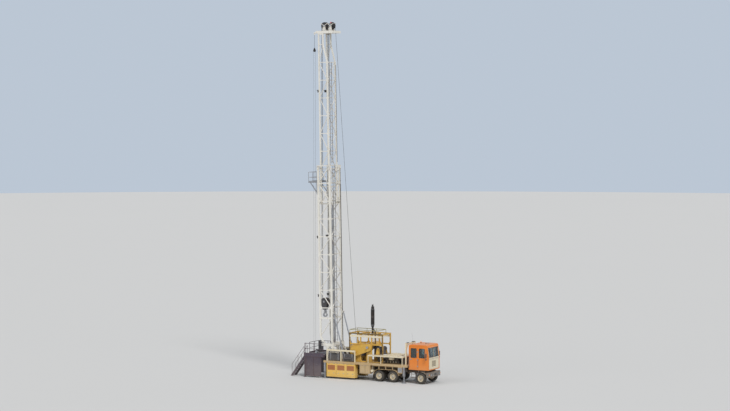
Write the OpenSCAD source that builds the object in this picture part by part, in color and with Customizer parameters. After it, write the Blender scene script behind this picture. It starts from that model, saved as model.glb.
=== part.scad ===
// Mobile drilling rig: a two-section lattice mast stands on the rear of a wheeled carrier.
// Right-handed frame in millimetres. +X runs forward to the cab, +Z up. The ground is z = 0.

/* [Mast] */
// Height of the mast feet above the ground
mast_foot_z = 3400; // [3200:50:3800]
// Lean of the mast towards the well, in degrees
mast_lean = 1; // [0:0.25:2]
// Depth of the lower section, front to back over the legs
lower_depth = 1450; // [1300:10:1700]
// Width of the lower section over the legs
lower_width = 2200; // [2100:10:2500]
// Side of a lower leg, a square tube
lower_leg = 160; // [120:5:200]
// Height of one braced panel of the lower section
lower_pitch = 1760; // [1500:10:2000]
// Braced panels in the lower section
lower_panels = 10; // [8:1:12]
// Height of the heavy cross member above the feet
portal_z = 2500; // [2000:50:3200]
// Distance that the front feet are drawn in
foot_inset = 320; // [0:10:400]
// Height of the drawn-in part of the front legs
foot_bend_h = 700; // [400:20:1200]
// Depth of the upper section over the legs
upper_depth = 1050; // [900:10:1150]
// Width of the upper section over the legs
upper_width = 1720; // [1500:10:1800]
// Side of an upper leg, a square tube
upper_leg = 125; // [90:5:150]
// Distance of the ladder's outer rail from the middle of the mast
ladder_y = 640; // [600:10:680]
// Width of the ladder
ladder_w = 400; // [350:10:450]
// Distance between rungs
ladder_rung = 350; // [250:10:400]
// Height of one braced panel of the upper section
upper_pitch = 1750; // [1500:10:2000]
// Braced panels in the upper section, without its head
upper_panels = 9; // [7:1:11]
// Length of the upper section that stays inside the lower one
mast_overlap = 3850; // [2500:50:5000]
// Depth of the mast head over the legs
head_depth = 600; // [450:10:800]
// Height of the mast head above the last panel
head_h = 1100; // [800:50:1600]
// Side of the bracing tubes in the lower section
lower_brace = 80; // [60:5:110]
// Side of the bracing tubes in the upper section
upper_brace = 65; // [50:5:90]
// Running clearance of a guide shoe
shoe_gap = 0.5; // [0.3:0.1:2]
// Height of a guide shoe
shoe_h = 400; // [200:20:600]

/* [Crown] */
// Depth of the crown's beams
crown_beam_h = 250; // [180:10:320]
// Height of the crown shaft above the crown's beams
crown_shaft_h = 500; // [450:10:600]
// Pitch radius of the sheaves, to the middle of the rope
sheave_pitch_r = 340; // [300:10:380]
// Width of one sheave
sheave_w = 80; // [60:5:90]
// Distance between neighbouring sheaves
sheave_pitch = 110; // [95:5:130]
// Radius of the crown shaft
crown_shaft_r = 60; // [45:5:80]
// Thickness of a shaft bearing on the crown
bearing_w = 70; // [50:5:90]
// Place of the tugger line, behind the middle of the mast's foot
tugger_x = -1220; // [-1300:10:-1200]
// Place of the tugger line across the carrier
tugger_y = -1220; // [-1300:10:-1200]
// Height of the tugger's snatch block above the ground
tugger_z = 32300; // [31000:50:33000]
// Radius of the snatch block's sheave
tugger_r = 100; // [80:5:120]
// Diameter of the tugger line
tugger_d = 14; // [10:1:18]

/* [Hoist] */
// Well centre, behind the middle of the mast's foot
well_x = -700; // [-800:10:-640]
// Diameter of the wire rope
rope_d = 28; // [22:1:32]
// Height of the hook's lowest point
hook_z = 5900; // [5200:50:6500]
// Height of the hook, up to the block
hook_h = 750; // [600:10:900]
// Height of the travelling block
block_h = 1200; // [1000:10:1500]
// Width of the travelling block across the carrier
block_w = 560; // [480:10:700]
// Thickness of the block's side plates
block_plate = 50; // [30:5:80]
// Radius of the block's side plates, round its sheaves
block_plate_r = 385; // [375:5:395]

/* [Raising rams] */
// Height of a ram's upper pin above the mast feet
ram_lug_z = 3000; // [2600:20:3300]
// Distance of the rams' feet from the middle of the mast's foot
ram_foot_x = 2050; // [1950:10:2150]
// Radius of the rams' pins
ram_pin_r = 40; // [30:2:50]
// Width of a ram's eye
ram_eye_w = 90; // [70:5:110]
// Thickness of an ear beside a ram's eye
lug_t = 30; // [20:2:40]

/* [Work floor] */
// Height of the floor
floor_z = 2300; // [2000:50:2600]
// Length of the floor along the carrier
floor_len = 2160; // [1900:20:2600]
// How far the floor is wider than the carrier, at each side
floor_margin = 100; // [60:10:140]
// Forward edge of the floor
floor_x1 = -120; // [-130:5:-110]
// Thickness of the floor plate
floor_plate = 60; // [30:5:100]
// Depth of the floor's beams
floor_beam_h = 180; // [120:10:240]
// Side of the floor's legs
floor_leg = 120; // [90:5:160]
// Height of the handrails
rail_h = 1050; // [900:10:1200]
// Diameter of the handrail tube
rail_d = 48; // [38:1:60]
// Radius of the rotary table's body
table_r = 460; // [400:10:470]
// Radius of the opening in the rotary table
table_bore_r = 260; // [200:5:300]
// Depth of the rotary table under the floor
table_depth = 260; // [200:10:340]
// Width of the stair
stair_w = 760; // [600:10:900]
// Length of the stair along the carrier
stair_run = 1700; // [1500:20:2400]
// Steps in the stair
stair_steps = 9; // [7:1:12]

/* [Racking board] */
// Height of the board above the mast feet
board_z = 15900; // [14000:50:17000]
// Length of the board in front of the mast
board_len = 1000; // [1000:20:1500]
// Width of a walkway on the board
board_walk = 380; // [350:10:450]
// Height of the board's knee braces
knee_h = 1000; // [800:20:1200]
// Width of a racking finger
finger_w = 60; // [40:5:80]
// Space between racking fingers, for a stand of pipe
finger_gap = 80; // [65:5:100]
// Clear space between the fingers and the middle of the well
finger_clear = 460; // [430:10:500]

/* [Carrier] */
// Top of the frame rails
frame_top_z = 1300; // [1200:10:1400]
// Depth of the frame rails
frame_rail_h = 320; // [260:10:360]
// Width over the frame rails
frame_w = 900; // [800:10:1000]
// Top of the deck
deck_z = 1750; // [1650:10:1850]
// Width of the carrier
carrier_w = 2800; // [2600:20:2900]
// Forward end of the carrier, at the bumper
carrier_x1 = 11500; // [11450:10:12000]
// Depth of the bumper along the carrier
bumper_d = 350; // [250:10:380]
// Radius of a headlamp
lamp_r = 95; // [80:5:110]
// Rear end of the frame, under the mast
carrier_x0 = -150; // [-170:5:-120]
// Radius of a tyre
tyre_r = 540; // [480:5:560]
// Width of a tyre
tyre_w = 290; // [240:5:330]
// Space between the two tyres of a pair
tyre_space = 50; // [40:5:90]
// Height of the tyres above the ground on the jacks
jack_lift = 30; // [10:5:80]
// First rear axle
rear_axle_x = 6030; // [5900:10:6200]
// Distance between the two rear axles
tandem_x = 1500; // [1300:10:1600]
// Front axle
front_axle_x = 10570; // [10300:10:10700]
// Radius of the wheel spindles
spindle_r = 60; // [45:5:75]
// Side of a jack's outer tube
jack_tube = 200; // [160:10:240]
// Radius of a jack's foot
jack_pad_r = 270; // [220:10:320]

/* [Cab] */
// Rear wall of the cab
cab_x0 = 9200; // [9150:10:9400]
// Length of the cab
cab_len = 2150; // [1900:10:2200]
// Width of the cab
cab_w = 2400; // [2200:20:2600]
// Floor of the cab
cab_z0 = 1350; // [1340:10:1500]
// Height of the cab
cab_h = 2450; // [2200:10:2700]
// Wall of the cab
cab_wall = 60; // [30:5:90]
// Lean of the windscreen, from the belt line to the roof
cab_rake = 150; // [50:10:250]
// Radius of the roof's edges
cab_roof_r = 170; // [100:10:240]
// Width of the corner posts beside the front panel
cab_post = 130; // [100:10:180]
// Length of a cab door
door_len = 850; // [750:10:900]

/* [Machinery] */
// Rear end of the hoist frame
hoist_x0 = 2450; // [2400:10:2600]
// Length of the hoist frame
hoist_len = 3750; // [3600:50:4000]
// Width of the hoist frame
hoist_w = 1760; // [1500:20:1900]
// Height of the hoist frame above the deck
hoist_h = 2850; // [2500:50:3200]
// Side of the hoist frame's posts
hoist_post = 110; // [80:5:140]
// Radius of the hoist drum
drum_r = 310; // [250:10:360]
// Radius of the drum's flanges
drum_flange_r = 620; // [520:10:660]
// Height of the drum shaft above the deck
drum_z = 1050; // [950:10:1150]
// Distance of the drum shaft from the frame's rear end
drum_x = 700; // [680:10:800]
// Top of the engine canopy above the deck
canopy_h = 800; // [700:10:900]
// Forward end of the engine canopy
canopy_x1 = 8600; // [8300:20:8650]
// Rear end of the engine canopy
canopy_x0 = 4800; // [4700:20:5000]
// Thickness of the canopy's roof
canopy_t = 110; // [60:5:140]
// Height of the exhaust's pipe below its silencer
exhaust_pipe_h = 700; // [500:20:900]
// Height of the top of the exhaust
exhaust_z = 7250; // [6500:50:7800]
// Radius of the exhaust stack
exhaust_r = 150; // [100:10:180]
// Forward end of the side boxes
box_x1 = 3400; // [3200:20:3600]
// Bottom of the side boxes
box_z0 = 200; // [150:10:400]
// Depth of the side boxes across the carrier
box_d = 620; // [500:10:640]
// Doors in a side box
box_doors = 3; // [2:1:4]
// Rear end of the lockers
locker_x0 = 3900; // [3800:10:4000]
// Length of the lockers
locker_len = 1150; // [1000:10:1200]
// Bottom of the lockers
locker_z0 = 700; // [600:10:800]
// Radius of the fuel tank
fuel_r = 340; // [260:10:380]
// Radius of an air tank
air_r = 130; // [90:5:150]
// Radius of the shaft of the second drum, with its bearings
sand_drum_r = 190; // [150:10:220]
// Radius of the second drum's flanges
sand_flange_r = 400; // [340:10:420]
// Distance of the second drum's shaft from the first
sand_drum_dx = 1500; // [1450:10:1600]
// Height of the second drum's shaft above the first
sand_drum_dz = 450; // [400:10:500]
// Height of the guard rail on the hoist frame
hoist_rail_h = 300; // [200:10:400]

/* [Hidden] */
$fn = 48;

white = "#ded9cc";
cream = "#d9cfae";
yellow = "#c9982f";
olive = "#8b8652";
orange = "#cf6a22";
dark = "#2b2b2e";
steel = "#6a6c70";
tan_paint = "#b58a4a";
navy = "#3a3346";

// Seat clearance between pieces that stand on one another out of square
fit = 0.3;

// Diagonals are a little thinner than the cross members that they meet
thin = 0.85;

lower_h = lower_pitch * lower_panels;
lower_leg_x = lower_depth / 2 - lower_leg / 2;
lower_leg_y = lower_width / 2 - lower_leg / 2;
upper_leg_x = upper_depth / 2 - upper_leg / 2;
upper_leg_y = upper_width / 2 - upper_leg / 2;
upper_z0 = lower_h - mast_overlap;
upper_z1 = upper_z0 + upper_pitch * upper_panels;
head_z1 = upper_z1 + head_h;
head_back_x = head_depth - upper_depth / 2 - upper_leg / 2;
scoping_x = 330;
back_top_z = lower_h - shoe_h - lower_brace / 2 - 20;
taper_z0 = upper_z1 - upper_pitch;

crown_z = head_z1 + crown_beam_h;
shaft_z = crown_z + crown_shaft_h;
// Crown shaft in the mast's own frame, plumb over the well
crown_x = (well_x + shaft_z * sin(mast_lean)) / cos(mast_lean);
fast_x = crown_x + 2 * sheave_pitch_r;
sheave_groove_r = sheave_pitch_r - rope_d / 2 - fit;
sheave_r = sheave_pitch_r + 22;

block_z0 = hook_z + hook_h;
block_sheave_z = block_z0 + block_h - sheave_r - 40;
board_front_x = -lower_depth / 2 - board_len;
ram_lug_x = lower_depth / 2 + 120;
ram_foot_z = deck_z + 180;

floor_w = carrier_w + 2 * floor_margin;
floor_x0 = floor_x1 - floor_len;
// The forward legs stand clear of the jacks
floor_leg_in = 700;
stair_x0 = floor_x0 - stair_run;
stair_y = -floor_w / 2 + 260;

deck_t = 50;
axle_z = tyre_r + jack_lift;
axles = [rear_axle_x, rear_axle_x + tandem_x, front_axle_x];
wheel_outer_y = carrier_w / 2 - 40;

drum_wx = hoist_x0 + drum_x;
drum_wz = deck_z + drum_z;
hoist_x1 = hoist_x0 + hoist_len;
hoist_z1 = deck_z + hoist_h;
drum_shaft_r = 90;
drum_plate_t = 60;
drum_plate_y = hoist_w / 2 - hoist_post + drum_plate_t / 2;
canopy_z1 = deck_z + canopy_h;
cab_x1 = cab_x0 + cab_len;
cab_z1 = cab_z0 + cab_h;
cab_belt_z = cab_z0 + cab_h * 0.48;
cab_header = 220;
cab_sill = 90;
glass_t = 12;
sand_x = drum_wx + sand_drum_dx;
sand_z = drum_wz + sand_drum_dz;

// Middle of the whole rig along the carrier
middle_x = (stair_x0 + carrier_x1) / 2;

// A point of the leaning mast's frame, in the carrier's frame
function lean_point(p) = [
    p.x * cos(mast_lean) - p.z * sin(mast_lean),
    p.y,
    mast_foot_z + p.x * sin(mast_lean) + p.z * cos(mast_lean)
];

module place() {
    translate([-middle_x, 0, 0]) children();
}

module lean() {
    translate([0, 0, mast_foot_z])
        rotate([0, -mast_lean, 0])
            children();
}

module both_sides() {
    children();
    mirror([0, 1, 0]) children();
}

// Box between two corners
module block(a, b) {
    translate(a) cube(b - a);
}

// Square tube between two points
module bar(a, b, size) {
    d = b - a;
    translate(a)
        rotate([0, acos(d.z / norm(d)), atan2(d.y, d.x)])
            rotate(45)
                cylinder(h = norm(d), d = size * sqrt(2), $fn = 4);
}

// Round rod between two points
module rod(a, b, r, sides = 24) {
    d = b - a;
    translate(a)
        rotate([0, acos(d.z / norm(d)), atan2(d.y, d.x)])
            cylinder(h = norm(d), r = r, $fn = sides);
}

// Cylinder across the carrier, centred on y
module cross_cylinder(x, y, z, r, w) {
    translate([x, y + w / 2, z])
        rotate([90, 0, 0])
            cylinder(h = w, r = r);
}

// Plate across the carrier, cut to an outline in X and Z
module side_plate(points, y, t) {
    translate([0, y + t / 2, 0])
        rotate([90, 0, 0])
            linear_extrude(t) polygon(points);
}

// Points of an arc in a flat outline
function arc(c, r, a0, a1, steps = 6) =
    [for (i = [0 : steps]) let (a = a0 + (a1 - a0) * i / steps) c + r * [cos(a), sin(a)]];

// Rectangle with round corners, as an outline
function rounded(x0, z0, x1, z1, r) = concat(
    arc([x1 - r, z0 + r], r, -90, 0, 3), arc([x1 - r, z1 - r], r, 0, 90, 3),
    arc([x0 + r, z1 - r], r, 90, 180, 3), arc([x0 + r, z0 + r], r, 180, 270, 3)
);

// Bar along the carrier, cut to an outline in Y and Z
module long_plate(points, x0, x1) {
    translate([x0, 0, 0])
        rotate([90, 0, 90])
            linear_extrude(x1 - x0) polygon(points);
}

// Everything under the level of the mast feet
module below_feet() {
    block([-3000, -3000, mast_foot_z - 1000], [3000, 3000, mast_foot_z]);
}

// One side of the lower section: s is -1 on the near side and 1 on the far side
module lower_side(s) {
    y = s * lower_leg_y;
    shoe_y0 = upper_width / 2 + shoe_gap;
    shoe_y1 = lower_width / 2 - lower_leg + 5;
    difference() {
        lean() {
            bar([-lower_leg_x, y, foot_bend_h], [-lower_leg_x, y, lower_h], lower_leg);
            bar([foot_inset - lower_leg_x, y, -200], [foot_inset - lower_leg_x, y, 60], lower_leg - 4);
            bar([foot_inset - lower_leg_x, y, 0], [-lower_leg_x, y, foot_bend_h + 40], lower_leg - 8);
            bar([lower_leg_x, y, -200], [lower_leg_x, y, lower_h], lower_leg);
            bar([-lower_leg_x, y, portal_z], [lower_leg_x, y, portal_z], lower_leg * 0.9);
            for (i = [2 : lower_panels]) {
                z = min(i * lower_pitch, lower_h - lower_brace / 2);
                bar([-lower_leg_x, y, z], [lower_leg_x, y, z], lower_brace);
            }
            for (i = [2 : lower_panels - 1]) {
                front = i % 2 == 0 ? lower_leg_x : -lower_leg_x;
                top = min((i + 1) * lower_pitch, lower_h - lower_brace / 2);
                bar([front, y, i * lower_pitch], [-front, y, top], lower_brace * thin);
            }
            bar([lower_leg_x, y, portal_z], [-lower_leg_x, y, foot_bend_h], lower_brace * thin);
            for (x = [-lower_leg_x, lower_leg_x])
                block(
                    [x - lower_leg / 2 + 5, min(s * shoe_y0, s * shoe_y1), lower_h - shoe_h],
                    [x + lower_leg / 2 - 5, max(s * shoe_y0, s * shoe_y1), lower_h - 15]
                );
            ram_lug(y);
        }
        below_feet();
    }
}

// Pair of ears for a raising ram on a back leg
module ram_lug(y) {
    for (e = [-1, 1])
        difference() {
            side_plate(
                [[lower_leg_x, ram_lug_z - 160], [ram_lug_x, ram_lug_z - 70],
                 [ram_lug_x + 70, ram_lug_z - 30], [ram_lug_x + 70, ram_lug_z + 40],
                 [ram_lug_x, ram_lug_z + 80], [lower_leg_x, ram_lug_z + 160]],
                y + e * (ram_eye_w / 2 + fit + lug_t / 2), lug_t
            );
            cross_cylinder(ram_lug_x, y, ram_lug_z, ram_pin_r + fit, 400);
        }
}

module lower_mast_near() { color(white) lower_side(-1); }
module lower_mast_far() { color(white) lower_side(1); }

module lower_mast_back() {
    inner = lower_width / 2 - lower_leg - fit;
    node_y = inner - lower_brace * 0.8;
    color(white)
        lean() {
            bar([lower_leg_x, -inner, portal_z], [lower_leg_x, inner, portal_z], lower_leg * 0.9);
            for (s = [-1, 1])
                bar([lower_leg_x, 0, portal_z], [lower_leg_x, s * node_y, 2 * lower_pitch],
                    lower_brace * thin);
            for (i = [2 : lower_panels]) {
                z = min(i * lower_pitch, back_top_z);
                bar([lower_leg_x, -inner, z], [lower_leg_x, inner, z], lower_brace);
            }
            for (i = [2 : lower_panels - 1]) {
                y = i % 2 == 0 ? -node_y : node_y;
                top = min((i + 1) * lower_pitch, back_top_z);
                bar([lower_leg_x, y, i * lower_pitch], [lower_leg_x, -y, top], lower_brace * thin);
            }
        }
}

// One side of the upper section
module upper_side(s) {
    y = s * upper_leg_y;
    shoe_y0 = upper_width / 2 - 5;
    shoe_y1 = lower_width / 2 - lower_leg - shoe_gap;
    sill_z = upper_z0 + upper_leg / 2 + 4;
    head_beam_z = head_z1 - upper_leg / 2 - 4;
    lean() {
        bar([-upper_leg_x, y, upper_z0], [-upper_leg_x, y, head_z1], upper_leg);
        bar([upper_leg_x, y, upper_z0], [upper_leg_x, y, taper_z0 + 20], upper_leg);
        bar([upper_leg_x, y, taper_z0], [head_back_x, y, upper_z1], upper_leg - 6);
        bar([head_back_x, y, upper_z1 - 20], [head_back_x, y, head_z1], upper_leg);
        bar([-upper_leg_x, y, sill_z], [upper_leg_x, y, sill_z], upper_leg - 6);
        for (i = [1 : upper_panels - 1]) {
            z = upper_z0 + i * upper_pitch;
            bar([-upper_leg_x, y, z], [upper_leg_x, y, z], upper_brace);
        }
        bar([-upper_leg_x, y, upper_z1], [head_back_x, y, upper_z1], upper_brace);
        bar([-upper_leg_x, y, head_beam_z], [head_back_x, y, head_beam_z], upper_leg - 6);
        for (i = [0 : upper_panels - 2]) {
            front = i % 2 == 1 ? upper_leg_x : -upper_leg_x;
            bar([front, y, upper_z0 + i * upper_pitch], [-front, y, upper_z0 + (i + 1) * upper_pitch],
                upper_brace * thin);
        }
        bar([-upper_leg_x, y, taper_z0], [head_back_x, y, upper_z1], upper_brace * thin);
        for (x = [-upper_leg_x, upper_leg_x])
            block(
                [x - upper_leg / 2 + 5, min(s * shoe_y0, s * shoe_y1), upper_z0 + 15],
                [x + upper_leg / 2 - 5, max(s * shoe_y0, s * shoe_y1), upper_z0 + shoe_h]
            );
    }
}

module upper_mast_near() { color(white) upper_side(-1); }
module upper_mast_far() { color(white) upper_side(1); }

module upper_mast_back() {
    inner = upper_width / 2 - upper_leg - fit;
    node_y = inner - upper_brace * 0.8;
    color(white)
        lean() {
            block([scoping_x - 80, -inner, upper_z0 + 5],
                  [upper_depth / 2 - 5, inner, upper_z0 + upper_leg]);
            for (i = [1 : upper_panels - 1]) {
                z = upper_z0 + i * upper_pitch;
                bar([upper_leg_x, -inner, z], [upper_leg_x, inner, z], upper_brace);
            }
            for (i = [0 : upper_panels - 2]) {
                y = i % 2 == 1 ? -node_y : node_y;
                z = max(upper_z0 + i * upper_pitch, upper_z0 + upper_leg / 2);
                bar([upper_leg_x, y, z], [upper_leg_x, -y, upper_z0 + (i + 1) * upper_pitch],
                    upper_brace * thin);
            }
        }
}

cluster_half = sheave_pitch + sheave_w / 2 + 20;
fast_y = 2 * sheave_pitch;

// Bearing stand on the crown, with a bore for a shaft
module bearing_stand(x, y) {
    difference() {
        side_plate(
            [[x - 200, crown_z - 1], [x + 200, crown_z - 1],
             [x + 90, shaft_z + 90], [x - 90, shaft_z + 90]],
            y, bearing_w
        );
        cross_cylinder(x, y, shaft_z, crown_shaft_r + 0.05, bearing_w * 2);
    }
}

module crown_frame() {
    x0 = -upper_depth / 2 - 250;
    beam_w = 120;
    x1 = fast_x + sheave_pitch_r + 140 + beam_w;
    y1 = upper_width / 2;
    near_y = -cluster_half - bearing_w / 2 - 10;
    mid_y = cluster_half + bearing_w / 2 - 20;
    far_y = fast_y + sheave_w / 2 + bearing_w / 2 + 50;
    color(white)
        lean() {
            for (y = [-y1, y1 - upper_leg])
                block([x0, y, head_z1 + fit], [x1, y + upper_leg, crown_z]);
            for (x = [x0, x1 - beam_w])
                block([x, -y1, head_z1 + fit], [x + beam_w, y1, crown_z]);
            for (y = [near_y, far_y])
                block([x0, y - bearing_w / 2, head_z1 + fit], [x1, y + bearing_w / 2, crown_z]);
            bearing_stand(crown_x, near_y);
            bearing_stand(crown_x, far_y);
            bearing_stand(fast_x, near_y);
            bearing_stand(fast_x, far_y);
            tugger_arm();
        }
}

// Outrigger on the near side of the crown, for the tugger line
module tugger_arm() {
    // The arm's place in the leaning frame, plumb over the line
    x = (tugger_x + head_z1 * sin(mast_lean)) / cos(mast_lean);
    block([x - 50, tugger_y - 90, head_z1 + fit], [x + 50, -upper_width / 2 + 1, head_z1 + 110]);
    block([x - 50, tugger_y - 10, head_z1 - 140], [x + 50, tugger_y + 10, head_z1 + fit + 1]);
}

// Grooved sheave about the Y axis
module sheave(x, y, z, hub_r) {
    translate([x, y, z])
        rotate([90, 0, 0])
            rotate_extrude($fn = 64)
                polygon([
                    [hub_r, -sheave_w / 2], [hub_r + 60, -sheave_w / 2], [hub_r + 70, -sheave_w / 4],
                    [sheave_r - 70, -sheave_w / 4], [sheave_r - 50, -sheave_w / 2],
                    [sheave_r, -sheave_w / 2],
                    [sheave_groove_r, -rope_d / 2 - 2], [sheave_groove_r, rope_d / 2 + 2],
                    [sheave_r, sheave_w / 2], [sheave_r - 50, sheave_w / 2], [sheave_r - 70, sheave_w / 4],
                    [hub_r + 70, sheave_w / 4], [hub_r + 60, sheave_w / 2], [hub_r, sheave_w / 2]
                ]);
}

module crown_sheaves() {
    near_y = -cluster_half - bearing_w / 2 - 10;
    far_y = fast_y + sheave_w / 2 + bearing_w / 2 + 50;
    shaft_y0 = near_y - bearing_w / 2 - 20;
    shaft_w = far_y + bearing_w / 2 + 20 - shaft_y0;
    color(dark) {
        lean() {
            for (i = [-1 : 1])
                sheave(crown_x, i * sheave_pitch, shaft_z, crown_shaft_r - 5);
            sheave(fast_x, fast_y, shaft_z, crown_shaft_r - 5);
            for (x = [crown_x, fast_x])
                cross_cylinder(x, shaft_y0 + shaft_w / 2, shaft_z, crown_shaft_r, shaft_w);
        }
        snatch_block();
    }
}

// Snatch block that hangs under the outrigger on its sling
module snatch_block() {
    arm_x = (tugger_x + head_z1 * sin(mast_lean)) / cos(mast_lean);
    arm_z = lean_point([arm_x, tugger_y, head_z1 - 140]).z;
    half = tugger_r + 35;
    for (e = [-1, 1])
        side_plate(
            concat([[tugger_x - 30, tugger_z + 260], [tugger_x - half, tugger_z]],
                arc([tugger_x, tugger_z], half, 180, 360, 8), [[tugger_x + 30, tugger_z + 260]]),
            tugger_y + e * 33, 14
        );
    cross_cylinder(tugger_x, tugger_y, tugger_z, tugger_r - tugger_d / 2 - fit, 54);
    cross_cylinder(tugger_x, tugger_y, tugger_z, 25, 100);
    cross_cylinder(tugger_x, tugger_y, tugger_z + 225, 18, 100);
    rod([tugger_x, tugger_y, tugger_z + 215], [tugger_x, tugger_y, arm_z - 2 * fit], 12, 10);
}

// Walkways round the path of the travelling block, on knee braces from the front legs
module racking_board() {
    y1 = lower_width / 2;
    leg_face = -lower_depth / 2 - fit;
    plate_t = 60;
    knee_x = board_front_x + board_walk / 2;
    color(steel)
        lean() {
            for (s = [-1, 1]) {
                block([board_front_x, min(s * y1, s * (y1 - board_walk)), board_z],
                      [leg_face, max(s * y1, s * (y1 - board_walk)), board_z + plate_t]);
                bar([knee_x, s * (y1 - 60), board_z + 20],
                    [leg_face - 45, s * (y1 - 60), board_z - knee_h], 80);
                block([leg_face - 100, s * (y1 - 60) - 50, board_z - knee_h - 150],
                      [leg_face, s * (y1 - 60) + 50, board_z + 20]);
            }
            block([board_front_x, -y1, board_z], [board_front_x + board_walk, y1, board_z + plate_t]);
            board_rail();
        }
}

// Fingers that part the stands of pipe, on both sides of the middle slot
module racking_fingers() {
    x0 = board_front_x + board_walk + fit;
    // Tips stop short of the travelling block's path, which is plumb over the well
    tip = well_x + board_z * sin(mast_lean) - finger_clear;
    inner = lower_width / 2 - board_walk;
    count = floor((inner - finger_gap) / (finger_w + finger_gap) - 0.5);
    color(steel)
        lean()
            for (s = [-1, 1], k = [1 : count]) {
                y = s * (inner - k * (finger_w + finger_gap) + finger_w / 2);
                translate([0, 0, board_z + 5])
                    linear_extrude(50)
                        polygon(concat(
                            [[x0, y - finger_w / 2]],
                            arc([tip - finger_w / 2, y], finger_w / 2, -90, 90),
                            [[x0, y + finger_w / 2]]
                        ));
            }
}

module board_rail() {
    y1 = lower_width / 2 - rail_d / 2;
    x0 = board_front_x + rail_d / 2;
    x1 = -lower_depth / 2 - 60;
    for (h = [rail_h / 2, rail_h]) {
        for (y = [-y1, y1])
            rod([x0, y, board_z + h], [x1, y, board_z + h], rail_d / 2, 8);
        rod([x0, -y1, board_z + h], [x0, y1, board_z + h], rail_d / 2, 8);
    }
    for (y = [-y1, 0, y1])
        rod([x0, y, board_z + 20], [x0, y, board_z + rail_h + rail_d / 2], rail_d / 2, 8);
    for (y = [-y1, y1], x = [x1, (x0 + x1) / 2])
        rod([x, y, board_z + 20], [x, y, board_z + rail_h + rail_d / 2], rail_d / 2, 8);
}

// Long cylinder that lifts the upper section, inside the mast
module scoping_ram() {
    rod_top = upper_z0 + 5 - fit;
    barrel_top = upper_z0 - 500;
    color(steel)
        difference() {
            lean() {
                rod([scoping_x, 0, -200], [scoping_x, 0, barrel_top], 100);
                rod([scoping_x, 0, barrel_top - 10], [scoping_x, 0, barrel_top + 80], 120);
                rod([scoping_x, 0, barrel_top], [scoping_x, 0, rod_top], 70);
            }
            below_feet();
        }
}

module raising_rams() {
    color(steel)
        both_sides() {
            top = lean_point([ram_lug_x, -lower_leg_y, ram_lug_z]);
            foot = [ram_foot_x, -lower_leg_y, ram_foot_z];
            along = (top - foot) / norm(top - foot);
            rod(foot, foot + 200 * along, ram_eye_w / 2 - 3);
            rod(foot + 170 * along, foot + 1650 * along, 110);
            rod(foot + 1600 * along, top - 150 * along, 60);
            rod(top - 180 * along, top, ram_eye_w / 2 - 3);
            cross_cylinder(foot.x, foot.y, foot.z, 85, ram_eye_w);
            cross_cylinder(top.x, top.y, top.z, 75, ram_eye_w);
            cross_cylinder(foot.x, foot.y, foot.z, ram_pin_r, ram_eye_w + 4 * lug_t);
            cross_cylinder(top.x, top.y, top.z, ram_pin_r, ram_eye_w + 4 * lug_t);
        }
}

// Ears on the deck for the foot of a raising ram
module ram_foot_lugs() {
    for (e = [-1, 1])
        difference() {
            side_plate(
                [[ram_foot_x - 220, deck_z], [ram_foot_x + 220, deck_z],
                 [ram_foot_x + 80, ram_foot_z + 90], [ram_foot_x - 80, ram_foot_z + 90]],
                -lower_leg_y + e * (ram_eye_w / 2 + fit + lug_t / 2), lug_t
            );
            cross_cylinder(ram_foot_x, -lower_leg_y, ram_foot_z, ram_pin_r + fit, 400);
        }
}

module mast_base() {
    beam = 200;
    x0 = foot_inset - lower_leg_x - 180;
    x1 = lower_leg_x + 200;
    y0 = lower_leg_y - beam / 2;
    color(white) {
        both_sides() {
            block([x0, -y0 - beam, mast_foot_z - 250], [x1, -y0, mast_foot_z]);
            for (x = [40, x1 - beam])
                block([x, -y0 - beam, deck_z], [x + beam, -y0, mast_foot_z - 240]);
            bar([x1 - 80, -lower_leg_y, mast_foot_z - 260], [x1 + 700, -lower_leg_y, deck_z + 60], 140);
            block([x1 + 600, -lower_leg_y - 100, deck_z], [x1 + 850, -lower_leg_y + 100, deck_z + 40]);
            ram_foot_lugs();
        }
        block([scoping_x - 110, -y0 - 1, mast_foot_z - 220], [scoping_x + 110, y0 + 1, mast_foot_z]);
        block([x1 - beam, -y0 - 1, mast_foot_z - 220], [x1, y0 + 1, mast_foot_z - 20]);
    }
}

// Ladder on the outside of the back face, in two lengths
module mast_ladder() {
    y0 = -ladder_y;
    w = ladder_w;
    rung = ladder_rung;
    color(steel)
        lean() {
            ladder_run(lower_depth / 2 + 60, y0, w, 200, lower_h, rung);
            ladder_run(upper_depth / 2 + 60, y0, w, lower_h + 200, taper_z0, rung);
            for (i = [2 : 2 : lower_panels])
                ladder_bracket(lower_depth / 2 + 60, y0, w, min(i * lower_pitch, back_top_z),
                    lower_leg_x + lower_brace / 2 + fit);
            for (i = [3 : 2 : upper_panels - 1])
                ladder_bracket(upper_depth / 2 + 60, y0, w, upper_z0 + i * upper_pitch,
                    upper_leg_x + upper_brace / 2 + fit);
        }
}

// Standoffs from the rails of the ladder to a cross member of the mast
module ladder_bracket(x, y0, w, z, face) {
    for (y = [y0, y0 + w])
        block([face, y - 10, z - 30], [x + 10, y + 10, z + 30]);
}

module ladder_run(x, y0, w, z0, z1, rung) {
    for (y = [y0, y0 + w])
        block([x, y - 10, z0], [x + 60, y + 10, z1]);
    for (z = [z0 + rung / 2 : rung : z1 - 50])
        rod([x + 30, y0, z], [x + 30, y0 + w, z], 14, 6);
}

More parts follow.
